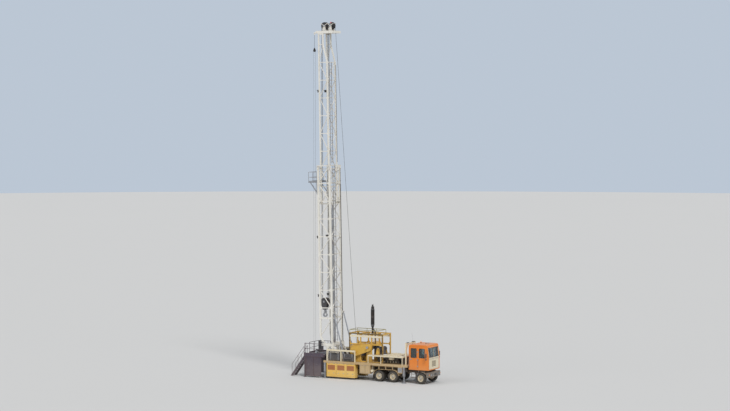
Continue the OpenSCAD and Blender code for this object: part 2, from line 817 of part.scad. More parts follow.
module work_floor() {
    y1 = floor_w / 2;
    top = floor_z;
    beam_z = top - floor_plate - floor_beam_h;
    color(dark) {
        difference() {
            block([floor_x0, -y1, top - floor_plate], [floor_x1, y1, top]);
            translate([well_x, 0, top - 200]) cylinder(h = 400, r = table_r + 3);
        }
        for (y = [-y1, y1 - 100])
            block([floor_x0, y, beam_z], [floor_x1, y + 100, top - floor_plate + 1]);
        for (x = [floor_x0, floor_x1 - 100])
            block([x, -y1, beam_z], [x + 100, y1, top - floor_plate + 1]);
        for (x = [well_x - table_r - 190, floor_x0 + floor_len * 0.22])
            block([x, -y1 + 50, beam_z + 30], [x + 80, y1 - 50, top - floor_plate + 1]);
        both_sides() {
            floor_leg_at(floor_x0 + floor_leg / 2, y1 - floor_leg / 2 - 20);
            floor_leg_at(min(floor_x1, carrier_x0 - 10) - floor_leg / 2, y1 - floor_leg_in);
        }
    }
}

// Leg of the work floor with its foot plate
module floor_leg_at(x, y) {
    h = floor_leg / 2;
    block([x - h, y - h, 0], [x + h, y + h, floor_z - floor_plate]);
    block([x - h - 60, y - h - 60, 0], [x + h + 60, y + h + 60, 30]);
}

// Sheet panels that hang from the side beams of the floor
module floor_panels() {
    y1 = floor_w / 2 - 50;
    x0 = floor_x0 + floor_leg + 20;
    x1 = -jack_pad_r - 90;
    z1 = floor_z - floor_plate - floor_beam_h - fit;
    z0 = 140;
    rib = 40;
    color(navy)
        both_sides() {
            block([x0, -y1 - 10, z0], [x1, -y1 + 10, z1]);
            for (x = [x0, (x0 + x1 - rib) / 2, x1 - rib])
                block([x, -y1 - rib, z0], [x + rib, -y1 - 9, z1 - 1]);
            for (z = [z0, z1 - rib])
                block([x0, -y1 - rib, z], [x1, -y1 - 9, z + rib - 1]);
        }
}

module floor_rails() {
    y1 = floor_w / 2 - rail_d;
    x0 = floor_x0 + rail_d;
    x1 = floor_x1 - rail_d;
    gap0 = stair_y;
    gap1 = stair_y + stair_w;
    r = rail_d / 2;
    color(dark) {
        for (h = [rail_h / 2, rail_h]) {
            for (y = [-y1, y1])
                rod([x0, y, floor_z + h], [x1, y, floor_z + h], r, 8);
            rod([x0, gap1, floor_z + h], [x0, y1, floor_z + h], r, 8);
            rod([x0, -y1, floor_z + h], [x0, gap0, floor_z + h], r, 8);
        }
        for (y = [-y1, y1], x = [x0, (x0 + x1) / 2, x1])
            rod([x, y, floor_z], [x, y, floor_z + rail_h + r], r, 8);
        for (y = [gap0, gap1, (gap1 + y1) / 2])
            rod([x0, y, floor_z], [x0, y, floor_z + rail_h + r], r, 8);
    }
}

module rotary_table() {
    color(steel)
        translate([well_x, 0, 0])
            difference() {
                union() {
                    translate([0, 0, floor_z - table_depth]) cylinder(h = table_depth + 1, r = table_r);
                    translate([0, 0, floor_z]) cylinder(h = 60, r = table_r + 50);
                }
                translate([0, 0, floor_z - table_depth - 10])
                    cylinder(h = table_depth + 100, r = table_bore_r);
            }
}

tread_rise = floor_z / (stair_steps + 1);
tread_going = stair_run / (stair_steps + 1);
stringer_t = 40;

module stair_treads() {
    color(dark)
        for (i = [1 : stair_steps])
            block(
                [stair_x0 + i * tread_going - 50, stair_y + stringer_t, i * tread_rise - 40],
                [stair_x0 + i * tread_going + 160, stair_y + stair_w - stringer_t, i * tread_rise]
            );
}

module stair_stringers() {
    slope = floor_z / stair_run;
    rail_r = min(rail_d / 2, stringer_t / 2 - 2);
    color(dark)
        for (y = [stair_y + stringer_t / 2, stair_y + stair_w - stringer_t / 2]) {
            side_plate(
                [[stair_x0, 0], [stair_x0 + 280, 0], [floor_x0, (stair_run - 280) * slope],
                 [floor_x0, floor_z], [floor_x0 - 20, floor_z]],
                y, stringer_t
            );
            for (i = [1, (1 + stair_steps) / 2, stair_steps])
                rod([stair_x0 + i * tread_going, y, i * tread_rise - 60],
                    [stair_x0 + i * tread_going, y, i * tread_rise + rail_h * 0.9], rail_r, 8);
            rod([stair_x0 + tread_going, y, tread_rise + rail_h * 0.9],
                [stair_x0 + stair_steps * tread_going, y, stair_steps * tread_rise + rail_h * 0.9],
                rail_r, 8);
        }
}

winch_r = 70;
winch_z = floor_z + 190;
fast_top = lean_point([fast_x + sheave_pitch_r, fast_y, shaft_z]);
fast_foot = [drum_wx - drum_r - rope_d / 2 - 1.3, fast_y - 150, drum_wz];

// Ropes that stay where they are: the line to the drum, the dead line and the crown's wraps
module rigging_lines() {
    dead_top = lean_point([crown_x + sheave_pitch_r, -sheave_pitch, shaft_z]);
    dead_foot = [scoping_x - 90, -ladder_y, mast_foot_z + 60];
    anchor = 60;
    color(steel) {
        rod(fast_top, fast_foot, rope_d / 2, 10);
        rod(dead_top, dead_foot, rope_d / 2, 10);
        block([scoping_x - 105, dead_foot.y - anchor, mast_foot_z + fit],
              [scoping_x - 105 + 2 * anchor, dead_foot.y + anchor, mast_foot_z + 3 * anchor]);
        for (e = [-1, 1])
            rod([tugger_x + e * tugger_r, tugger_y, winch_z],
                [tugger_x + e * tugger_r, tugger_y, tugger_z], tugger_d / 2, 8);
        block([tugger_x - tugger_r - 25, tugger_y - 25, floor_z + fit],
              [tugger_x - tugger_r + 25, tugger_y + 25, winch_z + 30]);
    }
}

// Small winch on the work floor, under the forward fall of the tugger line
module tugger_winch() {
    x = tugger_x + tugger_r + winch_r + tugger_d / 2 + fit;
    color(steel) {
        block([x - 190, tugger_y - 200, floor_z + fit], [x + 190, tugger_y + 220, floor_z + 25]);
        for (y = [tugger_y - 150, tugger_y + 150])
            side_plate(
                concat([[x - 170, floor_z + 24], [x + 170, floor_z + 24]], arc([x, winch_z], 70, 0, 180)),
                y, 20
            );
        cross_cylinder(x, tugger_y, winch_z, winch_r, 281);
        for (y = [tugger_y - 125, tugger_y + 125])
            cross_cylinder(x, y, winch_z, winch_r + 45, 16);
        cross_cylinder(x, tugger_y + 200, winch_z, 60, 81);
    }
}

// Falls between the crown and the travelling block
module drilling_lines() {
    crown_zw = lean_point([crown_x, 0, shaft_z]).z;
    color(steel)
        for (i = [-1 : 1]) {
            rod([well_x - sheave_pitch_r, i * sheave_pitch, block_sheave_z],
                [well_x - sheave_pitch_r, i * sheave_pitch, crown_zw], rope_d / 2, 10);
            rod([well_x + sheave_pitch_r, i * sheave_pitch, block_sheave_z],
                [well_x + sheave_pitch_r, (i + 1) * sheave_pitch, crown_zw], rope_d / 2, 10);
        }
}

module travelling_block() {
    half = block_w / 2;
    z0 = block_z0;
    color(dark)
        translate([well_x, 0, 0]) {
            for (s = [-1, 1])
                side_plate(
                    concat([[-150, z0], [150, z0]], arc([0, block_sheave_z], block_plate_r, -30, 210, 16)),
                    s * (half - block_plate / 2), block_plate
                );
            for (a = [35, 145])
                cross_cylinder((block_plate_r - 35) * cos(a), 0,
                    block_sheave_z + (block_plate_r - 35) * sin(a), 22, block_w - 2);
            cross_cylinder(0, 0, block_sheave_z, 55, block_w + 40);
            for (i = [-1 : 1])
                sheave(0, i * sheave_pitch, block_sheave_z, 50);
            block([-150, -half + 1, z0], [150, half - 1, z0 + 120]);
        }
}

module hook() {
    c = [0, hook_z + 240];
    shank_z = hook_z + 420;
    color(steel)
        translate([well_x, 0, 0]) {
            translate([0, 0, shank_z]) cylinder(h = hook_h - 420 - 60, r = 130);
            translate([0, 0, shank_z]) cylinder(h = hook_h - 420 - fit, r = 95);
            side_plate(
                concat(
                    [[75, shank_z + 10], [-75, shank_z + 10]], arc(c, 240, 150, 380, 16),
                    arc(c, 112, 380, 70, 14), [[75, c.y + 150]]
                ),
                0, 150
            );
            cross_cylinder(0, 0, shank_z + 90, 45, 440);
            for (s = [-1, 1])
                cross_cylinder(0, s * 210, shank_z + 90, 75, 20);
        }
}

module carrier_frame() {
    y1 = frame_w / 2;
    z0 = frame_top_z - frame_rail_h;
    flange = 110;
    web = 20;
    color(dark) {
        both_sides()
            long_plate([
                [y1, z0], [y1, frame_top_z], [y1 - flange, frame_top_z],
                [y1 - flange, frame_top_z - web], [y1 - web, frame_top_z - web], [y1 - web, z0 + web],
                [y1 - flange, z0 + web], [y1 - flange, z0]
            ], carrier_x0, carrier_x1 - bumper_d);
        for (x = [carrier_x0 + web : 1500 : carrier_x1 - 600])
            block([x, -y1 + web / 2, z0 + 50], [x + 120, y1 - web / 2, frame_top_z - 30]);
        both_sides()
            cab_step();
    }
}

// Two steps under a cab door, on hangers from the frame
module cab_step() {
    x0 = cab_x0 + 150;
    x1 = x0 + door_len - 350;
    y0 = -cab_w / 2 + 60;
    for (z = [560, 900])
        block([x0, y0, z], [x1, y0 + 260, z + 30]);
    for (x = [x0, x1 - 30]) {
        block([x, y0 + 230, 560], [x + 30, y0 + 260, 1200]);
        block([x, y0 + 230, 1140], [x + 30, -frame_w / 2 + 1, 1200]);
    }
}

module deck_plates() {
    t = deck_t;
    lip = 200;
    y1 = carrier_w / 2;
    x1 = cab_x0 - 50;
    color(tan_paint) {
        block([carrier_x0, -y1, deck_z - t], [x1, y1, deck_z]);
        both_sides()
            block([carrier_x0, -y1, deck_z - lip], [x1, -y1 + 60, deck_z - t + 1]);
        for (x = [carrier_x0 : 1500 : x1 - lip])
            block([x, -y1 + 30, deck_z - lip], [x + 90, y1 - 30, deck_z - t + 1]);
        both_sides()
            block([carrier_x0, -frame_w / 2, frame_top_z], [x1, -frame_w / 2 + 110, deck_z - t + 1]);
        both_sides()
            mudguard();
    }
}

// Guard over the pair of rear wheels, hung from the edge of the deck
module mudguard() {
    r = tyre_r + 95;
    t = 20;
    y0 = -wheel_outer_y - 20;
    y1 = -wheel_outer_y + 2 * tyre_w + tyre_space + 40;
    low = axle_z + 120;
    front_x = rear_axle_x + tandem_x;
    a = asin((low - axle_z) / (r + t));
    side_plate(
        concat(
            arc([front_x, axle_z], r + t, a, 90, 10), arc([rear_axle_x, axle_z], r + t, 90, 180 - a, 10),
            arc([rear_axle_x, axle_z], r, 180 - a, 90, 10), arc([front_x, axle_z], r, 90, a, 10)
        ),
        (y0 + y1) / 2, y1 - y0
    );
    for (x = [rear_axle_x, (rear_axle_x + front_x) / 2, front_x])
        block([x - 30, -carrier_w / 2 + 5, axle_z + r + t / 2], [x + 30, -carrier_w / 2 + 55, deck_z - 199]);
}

module front_bumper() {
    y1 = carrier_w / 2 - 100;
    z0 = 700;
    z1 = 1150;
    lamp_x = carrier_x1 - 60;
    color(dark)
        difference() {
            translate([0, 0, z0])
                linear_extrude(z1 - z0)
                    polygon([
                        [carrier_x1 - bumper_d, -y1], [carrier_x1 - 130, -y1], [carrier_x1, -y1 + 240],
                        [carrier_x1, y1 - 240], [carrier_x1 - 130, y1], [carrier_x1 - bumper_d, y1]
                    ]);
            for (y = [-y1 + 430, y1 - 430])
                translate([lamp_x, y, (z0 + z1) / 2])
                    rotate([0, 90, 0])
                        cylinder(h = 100, r = lamp_r);
            block([carrier_x1 - 90, -350, z0 + 130], [carrier_x1 + 10, 350, z1 - 130]);
        }
}

module axle_beams() {
    color(dark)
        for (x = axles) {
            dual = x != front_axle_x;
            in_y = wheel_outer_y - (dual ? 2 * tyre_w + tyre_space : tyre_w);
            cross_cylinder(x, 0, axle_z, spindle_r, 2 * wheel_outer_y - 60);
            block([x - 90, -in_y + 60, axle_z - 90], [x + 90, in_y - 60, axle_z + 90]);
            both_sides()
                block([x - 120, -frame_w / 2, axle_z + 80],
                      [x + 120, -frame_w / 2 + 110, frame_top_z - frame_rail_h]);
        }
}

// Wheel on the near side, with its outer face towards -Y
module wheel(x, dual) {
    w = dual ? 2 * tyre_w + tyre_space : tyre_w;
    rim_r = tyre_r * 0.53;
    h = w / 2;
    bead = 40;
    groove = 14;
    disc_z = dual ? h - 150 : -h + 110;
    translate([x, -wheel_outer_y + h, axle_z])
        rotate([90, 0, 0]) {
            difference() {
                rotate_extrude($fn = 72)
                    polygon([
                        [spindle_r + 0.05, -h + 40], [150, -h + 40], [150, disc_z],
                        [rim_r - 30, disc_z + 30], [rim_r - 30, -h + 30], [rim_r + 30, -h + 10],
                        [rim_r + 30, h - 10], [rim_r - 20, h - 20],
                        [rim_r - 20, disc_z + 70], [rim_r - 60, disc_z + 55], [170, disc_z + 25],
                        [130, disc_z + 90], [spindle_r + 0.05, disc_z + 100]
                    ]);
                for (k = [0 : 9])
                    rotate(k * 36)
                        translate([rim_r - 75, 0, disc_z - 40])
                            cylinder(h = 160, r = 24);
            }
            for (k = [0 : 9])
                rotate(k * 36 + 18)
                    translate([175, 0, disc_z + 20])
                        cylinder(h = 34, r = 15, $fn = 6);
            for (k = dual ? [-1, 1] : [0])
                translate([0, 0, k * (tyre_w + tyre_space) / 2])
                    rotate_extrude($fn = 72)
                        polygon(concat(
                            [[rim_r + 20, -tyre_w / 2 + bead], [rim_r + 90, -tyre_w / 2],
                             [tyre_r - 70, -tyre_w / 2], [tyre_r - 14, -tyre_w / 2 + 35]],
                            [for (g = [-tyre_w / 4, 0, tyre_w / 4])
                                each [[tyre_r - 4, g - groove], [tyre_r - 4 - groove, g - groove / 2],
                                      [tyre_r - 4 - groove, g + groove / 2], [tyre_r - 4, g + groove]]],
                            [[tyre_r - 14, tyre_w / 2 - 35], [tyre_r - 70, tyre_w / 2],
                             [rim_r + 90, tyre_w / 2], [rim_r + 20, tyre_w / 2 - bead]]
                        ));
        }
}

module wheel_front_near() { color(dark) wheel(axles[2], false); }
module wheel_front_far() { color(dark) mirror([0, 1, 0]) wheel(axles[2], false); }
module wheel_rear1_near() { color(dark) wheel(axles[0], true); }
module wheel_rear1_far() { color(dark) mirror([0, 1, 0]) wheel(axles[0], true); }
module wheel_rear2_near() { color(dark) wheel(axles[1], true); }
module wheel_rear2_far() { color(dark) mirror([0, 1, 0]) wheel(axles[1], true); }

module leveling_jacks() {
    color(steel) {
        both_sides() {
            jack(0, -carrier_w / 2 + jack_tube / 2, 700, deck_z - 200);
            jack(cab_x0 - 450, -carrier_w / 2 + jack_tube / 2, 700, deck_z - 200);
        }
    }
}

module jack(x, y, z0, z1) {
    translate([x, y, 0]) {
        block([-jack_tube / 2, -jack_tube / 2, z0], [jack_tube / 2, jack_tube / 2, z1]);
        translate([0, 0, 30]) cylinder(h = z0 - 20, r = 70);
        cylinder(h = 40, r = jack_pad_r);
        translate([0, 0, 40]) cylinder(h = 80, r = 110);
    }
}

module cab_body() {
    y1 = cab_w / 2;
    color(orange)
        difference() {
            side_plate(cab_outline(0), 0, cab_w);
            side_plate(cab_outline(cab_wall), 0, cab_w - 2 * cab_wall);
            block([cab_x1 - cab_rake - 2 * cab_wall, -y1 + cab_post, cab_z0 + cab_sill],
                  [cab_x1 + 10, y1 - cab_post, cab_z1 - cab_header]);
            both_sides() {
                for (w = [door_window(0), quarter_window(0)])
                    side_plate(w, -y1 + cab_wall / 2, cab_wall + 40);
                side_plate(door_outline(0), -y1, 16);
            }
        }
    color(orange)
        both_sides() {
            difference() {
                side_plate(door_outline(7), -y1 + 4 + fit, 8);
                side_plate(door_window(0), -y1, 40);
            }
            block([cab_x0 + 100, -frame_w / 2, frame_top_z], [cab_x1 - 100, -frame_w / 2 + 110, cab_z0 + 1]);
        }
}

// Side outline of the cab, drawn in by d
function cab_outline(d) =
    let (x0 = cab_x0 + d, x1 = cab_x1 - d, z0 = cab_z0 + d, z1 = cab_z1 - d, r = cab_roof_r - d / 2)
    concat(
        [[x0, z0], [x1, z0], [x1, cab_belt_z]],
        arc([x1 - cab_rake - r, z1 - r], r, 0, 90), arc([x0 + r, z1 - r], r, 90, 180)
    );

// Outlines of the door and the side windows, drawn in by d
function door_outline(d) =
    rounded(cab_x0 + 110 + d, cab_z0 + cab_sill + d, cab_x0 + 110 + door_len - d, cab_z1 - 240 - d, 60);
function door_window(d) =
    rounded(cab_x0 + 220 + d, cab_belt_z + d, cab_x0 + door_len - d, cab_z1 - 350 - d, 70);
function quarter_window(d) =
    rounded(cab_x0 + 110 + door_len + 150 + d, cab_belt_z + d, cab_x1 - 420 - d, cab_z1 - 350 - d, 70);

// Distance that the raked face lies behind the belt line, at a height
function rake_at(z) = max(0, z - cab_belt_z) * cab_rake / (cab_z1 - cab_roof_r - cab_belt_z);

module cab_front() {
    y1 = cab_w / 2 - cab_post - fit;
    z0 = cab_z0 + cab_sill + fit;
    z1 = cab_z1 - cab_header - fit;
    color(cream)
        difference() {
            side_plate(front_slab(z0, z1, 12, 12 + 45), 0, 2 * y1);
            for (s = [-1, 1])
                block([cab_x1 - 400, min(s * 45, s * (y1 - 70)), screen_z0],
                      [cab_x1 + 10, max(s * 45, s * (y1 - 70)), screen_z1]);
            for (i = [0 : 5])
                block([cab_x1 - 200, -430, z0 + 250 + i * 95], [cab_x1 + 10, 430, z0 + 300 + i * 95]);
        }
}

screen_z0 = cab_belt_z + 60;
screen_z1 = cab_z1 - cab_header - 80;

// Outline of a slab that follows the cab's face, between two depths behind it
function front_slab(z0, z1, d0, d1) = [
    [cab_x1 - d0 - rake_at(z0), z0], for (z = [cab_belt_z]) if (z > z0) [cab_x1 - d0, z],
    [cab_x1 - d0 - rake_at(z1), z1], [cab_x1 - d1 - rake_at(z1), z1],
    for (z = [cab_belt_z]) if (z > z0) [cab_x1 - d1, z], [cab_x1 - d1 - rake_at(z0), z0]
];

module cab_glass() {
    y1 = cab_w / 2 - cab_post - fit - 70;
    color("lightblue") {
        both_sides() {
            for (w = [door_window(fit), quarter_window(fit)])
                side_plate(w, -cab_w / 2 + 30, glass_t);
            side_plate(
                front_slab(screen_z0 + fit, screen_z1 - fit, 28, 28 + glass_t),
                -(45 + y1) / 2, y1 - 45 - 2 * fit
            );
        }
    }
}

module side_boxes() {
    door_len = (box_x1 - jack_tube) / box_doors;
    z1 = deck_z - 200;
    edge = 60;
    color(yellow)
        both_sides()
            difference() {
                block([jack_tube, -carrier_w / 2, box_z0], [box_x1, -carrier_w / 2 + box_d, z1]);
                for (i = [0 : box_doors - 1])
                    side_plate(
                        rounded(jack_tube + i * door_len + edge, box_z0 + 2 * edge,
                            jack_tube + (i + 1) * door_len - edge, z1 - edge, 40),
                        -carrier_w / 2, 24
                    );
            }
}

module bay_frames() {
    y0 = carrier_w / 2;
    post = 90;
    top = deck_z + 1150;
    color(cream)
        both_sides() {
            for (x = [jack_tube, (jack_tube + box_x1 - post) / 2, box_x1 - post])
                block([x, -y0, deck_z], [x + post, -y0 + post, top]);
            block([jack_tube, -y0, top - 160], [box_x1, -y0 + post, top]);
        }
}

// Hydraulic tanks and valve banks behind the posts of the bays
module bay_equipment() {
    y0 = -carrier_w / 2 + 120;
    y1 = -lower_leg_y - 120;
    post = 90;
    mid = (jack_tube + box_x1 - post) / 2;
    z0 = deck_z + 60;
    tank_h = 700;
    color(dark)
        both_sides() {
            for (x = [[jack_tube + post + 120, mid - 120], [mid + post + 120, box_x1 - post - 120]])
                long_plate(rounded(y0, z0, y1, z0 + tank_h, 45), x[0], x[1]);
            for (x = [jack_tube + post + 200, mid - 260, mid + post + 200, box_x1 - post - 260])
                block([x, y0 + 30, deck_z + fit], [x + 60, y1 - 30, z0 + 1]);
            for (x = [(jack_tube + post + mid) / 2, (mid + box_x1) / 2])
                translate([x, (y0 + y1) / 2, z0 + tank_h - 1]) cylinder(h = 70, r = 50);
        }
}

module drawworks_frame() {
    y1 = hoist_w / 2;
    p = hoist_post;
    posts = [for (i = [0 : 3]) hoist_x0 + i * (hoist_len - p) / 3];
    color(yellow) {
        both_sides() {
            for (x = posts)
                block([x, -y1, deck_z], [x + p, -y1 + p, hoist_z1]);
            for (z = [deck_z, deck_z + hoist_h * 0.6, hoist_z1 - p])
                block([hoist_x0, -y1, z], [hoist_x1, -y1 + p, z + p]);
        }
        for (x = posts)
            block([x, -y1, hoist_z1 - p], [x + p, y1, hoist_z1]);
        both_sides()
            difference() {
                union() {
                    side_plate(
                        [[drum_wx - 560, deck_z + p / 2], [drum_wx + 560, deck_z + p / 2],
                         [drum_wx + 500, drum_wz], [drum_wx - 500, drum_wz]],
                        -drum_plate_y, drum_plate_t
                    );
                    cross_cylinder(drum_wx, -drum_plate_y, drum_wz, drum_guard_r + 20, drum_plate_t);
                    side_plate(
                        [[sand_x - 300, deck_z + p / 2], [sand_x + 300, deck_z + p / 2],
                         [sand_x + 260, sand_z], [sand_x - 260, sand_z]],
                        -drum_plate_y, drum_plate_t
                    );
                    cross_cylinder(sand_x, -drum_plate_y, sand_z, 300, drum_plate_t);
                }
                for (c = [[drum_wx, drum_wz], [sand_x, sand_z]])
                    cross_cylinder(c.x, -drum_plate_y, c.y, drum_shaft_r + 0.05, 2 * drum_plate_t);
            }
    }
}

drum_guard_r = drum_flange_r + 60;
brake_r = drum_flange_r - 80;
guard_t = 20;
band_t = 30;

// Curved cover over the drum, open where the line runs on, and the brake bands
module drum_guards() {
    w = 2 * drum_plate_y - drum_plate_t;
    color(yellow) {
        side_plate(
            concat(arc([drum_wx, drum_wz], drum_guard_r, 5, 100, 14),
                arc([drum_wx, drum_wz], drum_guard_r - guard_t, 100, 5, 14)),
            0, w - 2 * fit
        );
        side_plate(
            concat(arc([sand_x, sand_z], sand_flange_r + 60, 20, 160, 14),
                arc([sand_x, sand_z], sand_flange_r + 60 - guard_t, 160, 20, 14)),
            0, w - 2 * fit
        );
        both_sides()
            difference() {
                union() {
                    cross_cylinder(drum_wx, -w / 2 + 70, drum_wz, brake_r + 2 + band_t, 80);
                    block([drum_wx - 50, -w / 2 + 30, deck_z + fit],
                          [drum_wx + 50, -w / 2 + 110, drum_wz - brake_r - 5]);
                }
                cross_cylinder(drum_wx, -w / 2 + 70, drum_wz, brake_r + 2, 90);
            }
        for (x = [sand_x - sand_flange_r - 85, sand_x + sand_flange_r + 5])
            block([x, -w / 2 + fit, sand_z + (sand_flange_r + 50) * sin(20) - 40],
                  [x + 80, w / 2 - fit, sand_z + (sand_flange_r + 50) * sin(20) + 20]);
    }
}

// Pipe rail on top of the hoist frame
module hoist_rail() {
    y1 = hoist_w / 2 - hoist_post / 2;
    x0 = hoist_x0 + hoist_post / 2;
    x1 = hoist_x1 - 550;
    r = 30;
    color(olive) {
        both_sides() {
            rod([x0, -y1, hoist_z1 + hoist_rail_h], [x1, -y1, hoist_z1 + hoist_rail_h], r, 12);
            for (k = [0 : 3])
                rod([x0 + k * (x1 - x0) / 3, -y1, hoist_z1 + fit],
                    [x0 + k * (x1 - x0) / 3, -y1, hoist_z1 + hoist_rail_h], r * 0.8, 12);
        }
        for (x = [x0, x1])
            rod([x, -y1, hoist_z1 + hoist_rail_h], [x, y1, hoist_z1 + hoist_rail_h], r * 0.9, 12);
    }
}

module drawworks_drum() {
    w = 2 * drum_plate_y - drum_plate_t;
    color(steel) {
        cross_cylinder(drum_wx, 0, drum_wz, drum_shaft_r, w + 2 * drum_plate_t);
        cross_cylinder(drum_wx, 0, drum_wz, drum_r, w - 300);
        for (s = [-1, 1]) {
            cross_cylinder(drum_wx, s * (w / 2 - 150), drum_wz, drum_flange_r, 50);
            cross_cylinder(drum_wx, s * (w / 2 - 75), drum_wz, brake_r, 110);
            cross_cylinder(sand_x, s * (w / 2 - 150), sand_z, sand_flange_r, 40);
        }
        cross_cylinder(sand_x, 0, sand_z, drum_shaft_r, w + 2 * drum_plate_t);
        cross_cylinder(sand_x, 0, sand_z, sand_drum_r, w - 300);
    }
}

module chain_case() {
    y = -hoist_w / 2 - 110;
    w = 219;
    r0 = 480;
    r1 = 380;
    // The case is as wide as its two wheels, along the tangents that both share
    d = norm([sand_drum_dx, sand_drum_dz]);
    up = atan2(sand_drum_dz, sand_drum_dx);
    a = acos((r0 - r1) / d);
    color(yellow)
        side_plate(
            concat(
                arc([drum_wx, drum_wz], r0, up + a, up + 360 - a, 24),
                arc([sand_x, sand_z], r1, up - a, up + a, 18)
            ),
            y, w
        );
}

module engine_block() {
    x0 = canopy_x0 + 1500;
    x1 = canopy_x1 - 900;
    top = canopy_h - canopy_t;
    z = deck_z + fit;
    shaft_z = deck_z + 300;
    color(dark) {
        // Crankcase with two banks of cylinders in a V
        long_plate([
            [-300, z], [300, z], [300, z + 240], [470, z + 430], [340, z + top - 90], [120, z + 400],
            [-120, z + 400], [-340, z + top - 90], [-470, z + 430], [-300, z + 240]
        ], x0, x1);
        both_sides()
            translate([x0 + 40, -455, z + 330])
                rotate([0, 90, 0])
                    cylinder(h = x1 - x0 - 80, r = 75);
        block([x0 + 250, -110, z + 390], [x1 - 250, 110, z + top - 60]);
        // Gearbox between the engine and the hoist
        translate([x0 - 1000, 0, shaft_z])
            rotate([0, 90, 0]) {
                cylinder(h = 1001, r = 190);
                cylinder(h = 300, r = 280);
                translate([0, 0, 760]) cylinder(h = 241, r = 270);
            }
        for (x = [x0 - 960, x0 - 200])
            block([x, -250, z], [x + 120, 250, shaft_z]);
        // Fan, on its hub
        translate([x1 - 1, 0, shaft_z])
            rotate([0, 90, 0])
                cylinder(h = 240, r = 80);
        translate([x1 + 180, 0, shaft_z])
            rotate([0, 90, 0])
                linear_extrude(16)
                    polygon([
                        for (k = [0 : 5])
                            each concat(arc([0, 0], 250, k * 60 - 15, k * 60 + 15),
                                arc([0, 0], 70, k * 60 + 22, k * 60 + 38, 2))
                    ]);
    }
}

// Cooler at the forward end of the engine: its frame and its core
module radiator() {
    x0 = canopy_x1 - 420;
    x1 = x0 + 220;
    y1 = 620;
    z0 = deck_z + fit;
    z1 = canopy_z1 - canopy_t - fit;
    color(dark)
        difference() {
            block([x0, -y1, z0], [x1, y1, z1]);
            for (x = [x0 - 10, x1 - 60])
                block([x, -y1 + 70, z0 + 60], [x + 70, y1 - 70, z1 - 60]);
            for (i = [0 : 10])
                block([x0 - 10, -y1 + 90 + i * 105, z0 + 80], [x1 + 10, -y1 + 90 + i * 105 + 50, z1 - 80]);
        }
}

module engine_canopy() {
    y1 = carrier_w / 2;
    y_in = hoist_w / 2 + 20;
    z0 = canopy_z1 - canopy_t;
    rib = 40;
    valance_z = hoist_z1 - 400;
    color(cream) {
        block([hoist_x1 + 20, -y1, z0], [canopy_x1, y1, canopy_z1]);
        for (x = [hoist_x1 + 320 : 500 : canopy_x1 - 200])
            block([x, -y1 + rib, canopy_z1 - 1], [x + rib, y1 - rib, canopy_z1 + rib]);
        both_sides() {
            block([canopy_x0, -y1, z0], [hoist_x1 + 30, -y_in, canopy_z1]);
            for (x = [canopy_x0, hoist_x1, canopy_x1 - 60])
                block([x, -y1, deck_z], [x + 60, -y1 + 60, z0 + 1]);
            block([hoist_x0, -hoist_w / 2 - 20, valance_z], [hoist_x1, -hoist_w / 2 - fit, valance_z + 190]);
        }
    }
}

module exhaust_stack() {
    // It stands on a cross bar of the hoist frame
    x = hoist_x0 + 2 * (hoist_len - hoist_post) / 3 + hoist_post / 2;
    color(dark)
        translate([x, -hoist_w / 2 + hoist_post + exhaust_r + 20, hoist_z1]) {
            cylinder(h = exhaust_pipe_h, r = exhaust_r * 2 / 3);
            translate([0, 0, exhaust_pipe_h - 10])
                cylinder(h = exhaust_z - hoist_z1 - exhaust_pipe_h + 10, r = exhaust_r);
        }
}

module side_lockers() {
    y0 = carrier_w / 2;
    z1 = deck_z - 200;
    x1 = locker_x0 + locker_len;
    edge = 50;
    color(tan_paint) {
        difference() {
            block([locker_x0, -y0, locker_z0], [x1, -y0 + box_d, z1]);
            for (i = [0, 1])
                side_plate(
                    rounded(locker_x0 + i * locker_len / 2 + edge, locker_z0 + edge,
                        locker_x0 + (i + 1) * locker_len / 2 - edge, z1 - edge, 30),
                    -y0, 20
                );
        }
        // Battery box between the wheels and the forward jack
        block([battery_x, -y0 + 10, 950], [battery_x + 480, -y0 + 430, z1]);
    }
}

battery_x = 8100;

// Fuel tank on the far side, and air tanks under the edge of the deck
module chassis_tanks() {
    y0 = carrier_w / 2;
    tank_z = deck_z - 200 - fit - fuel_r - 60;
    air_x = locker_x0 + locker_len + air_r + 50;
    strap = 12;
    color(cream) {
        translate([locker_x0, y0 - fuel_r - 20, tank_z])
            rotate([0, 90, 0])
                cylinder(h = locker_len, r = fuel_r);
        for (x = [locker_x0 + 200, locker_x0 + locker_len - 260]) {
            translate([x, y0 - fuel_r - 20, tank_z])
                rotate([0, 90, 0])
                    cylinder(h = 60, r = fuel_r + strap);
            block([x, y0 - fuel_r - 80, tank_z + fuel_r - 5],
                  [x + 60, y0 - fuel_r + 40, deck_z - deck_t - fit]);
        }
        for (s = [-1, 1]) {
            cross_cylinder(air_x, s * (y0 - 330), 1000, air_r, 560);
            for (y = [y0 - 480, y0 - 180])
                block([air_x - 20, s * y - 20, 1000 + air_r - 8],
                      [air_x + 20, s * y + 20, deck_z - deck_t - fit]);
        }
    }
}

module mast_rest() {
    x = canopy_x1 + 100;
    y1 = 1000;
    post = 140;
    top = 3900;
    color(cream) {
        both_sides() {
            block([x, -y1, deck_z], [x + post, -y1 + post, top]);
            block([x - 20, -y1 - 20, deck_z + fit], [x + post + 20, -y1 + post + 20, deck_z + 20]);
        }
        block([x, -y1, top - 200], [x + post, y1, top - 40]);
        both_sides()
            bar([x + post / 2, -y1 + post / 2, top - 700], [x + post / 2, -450, top - 160], 80);
    }
}

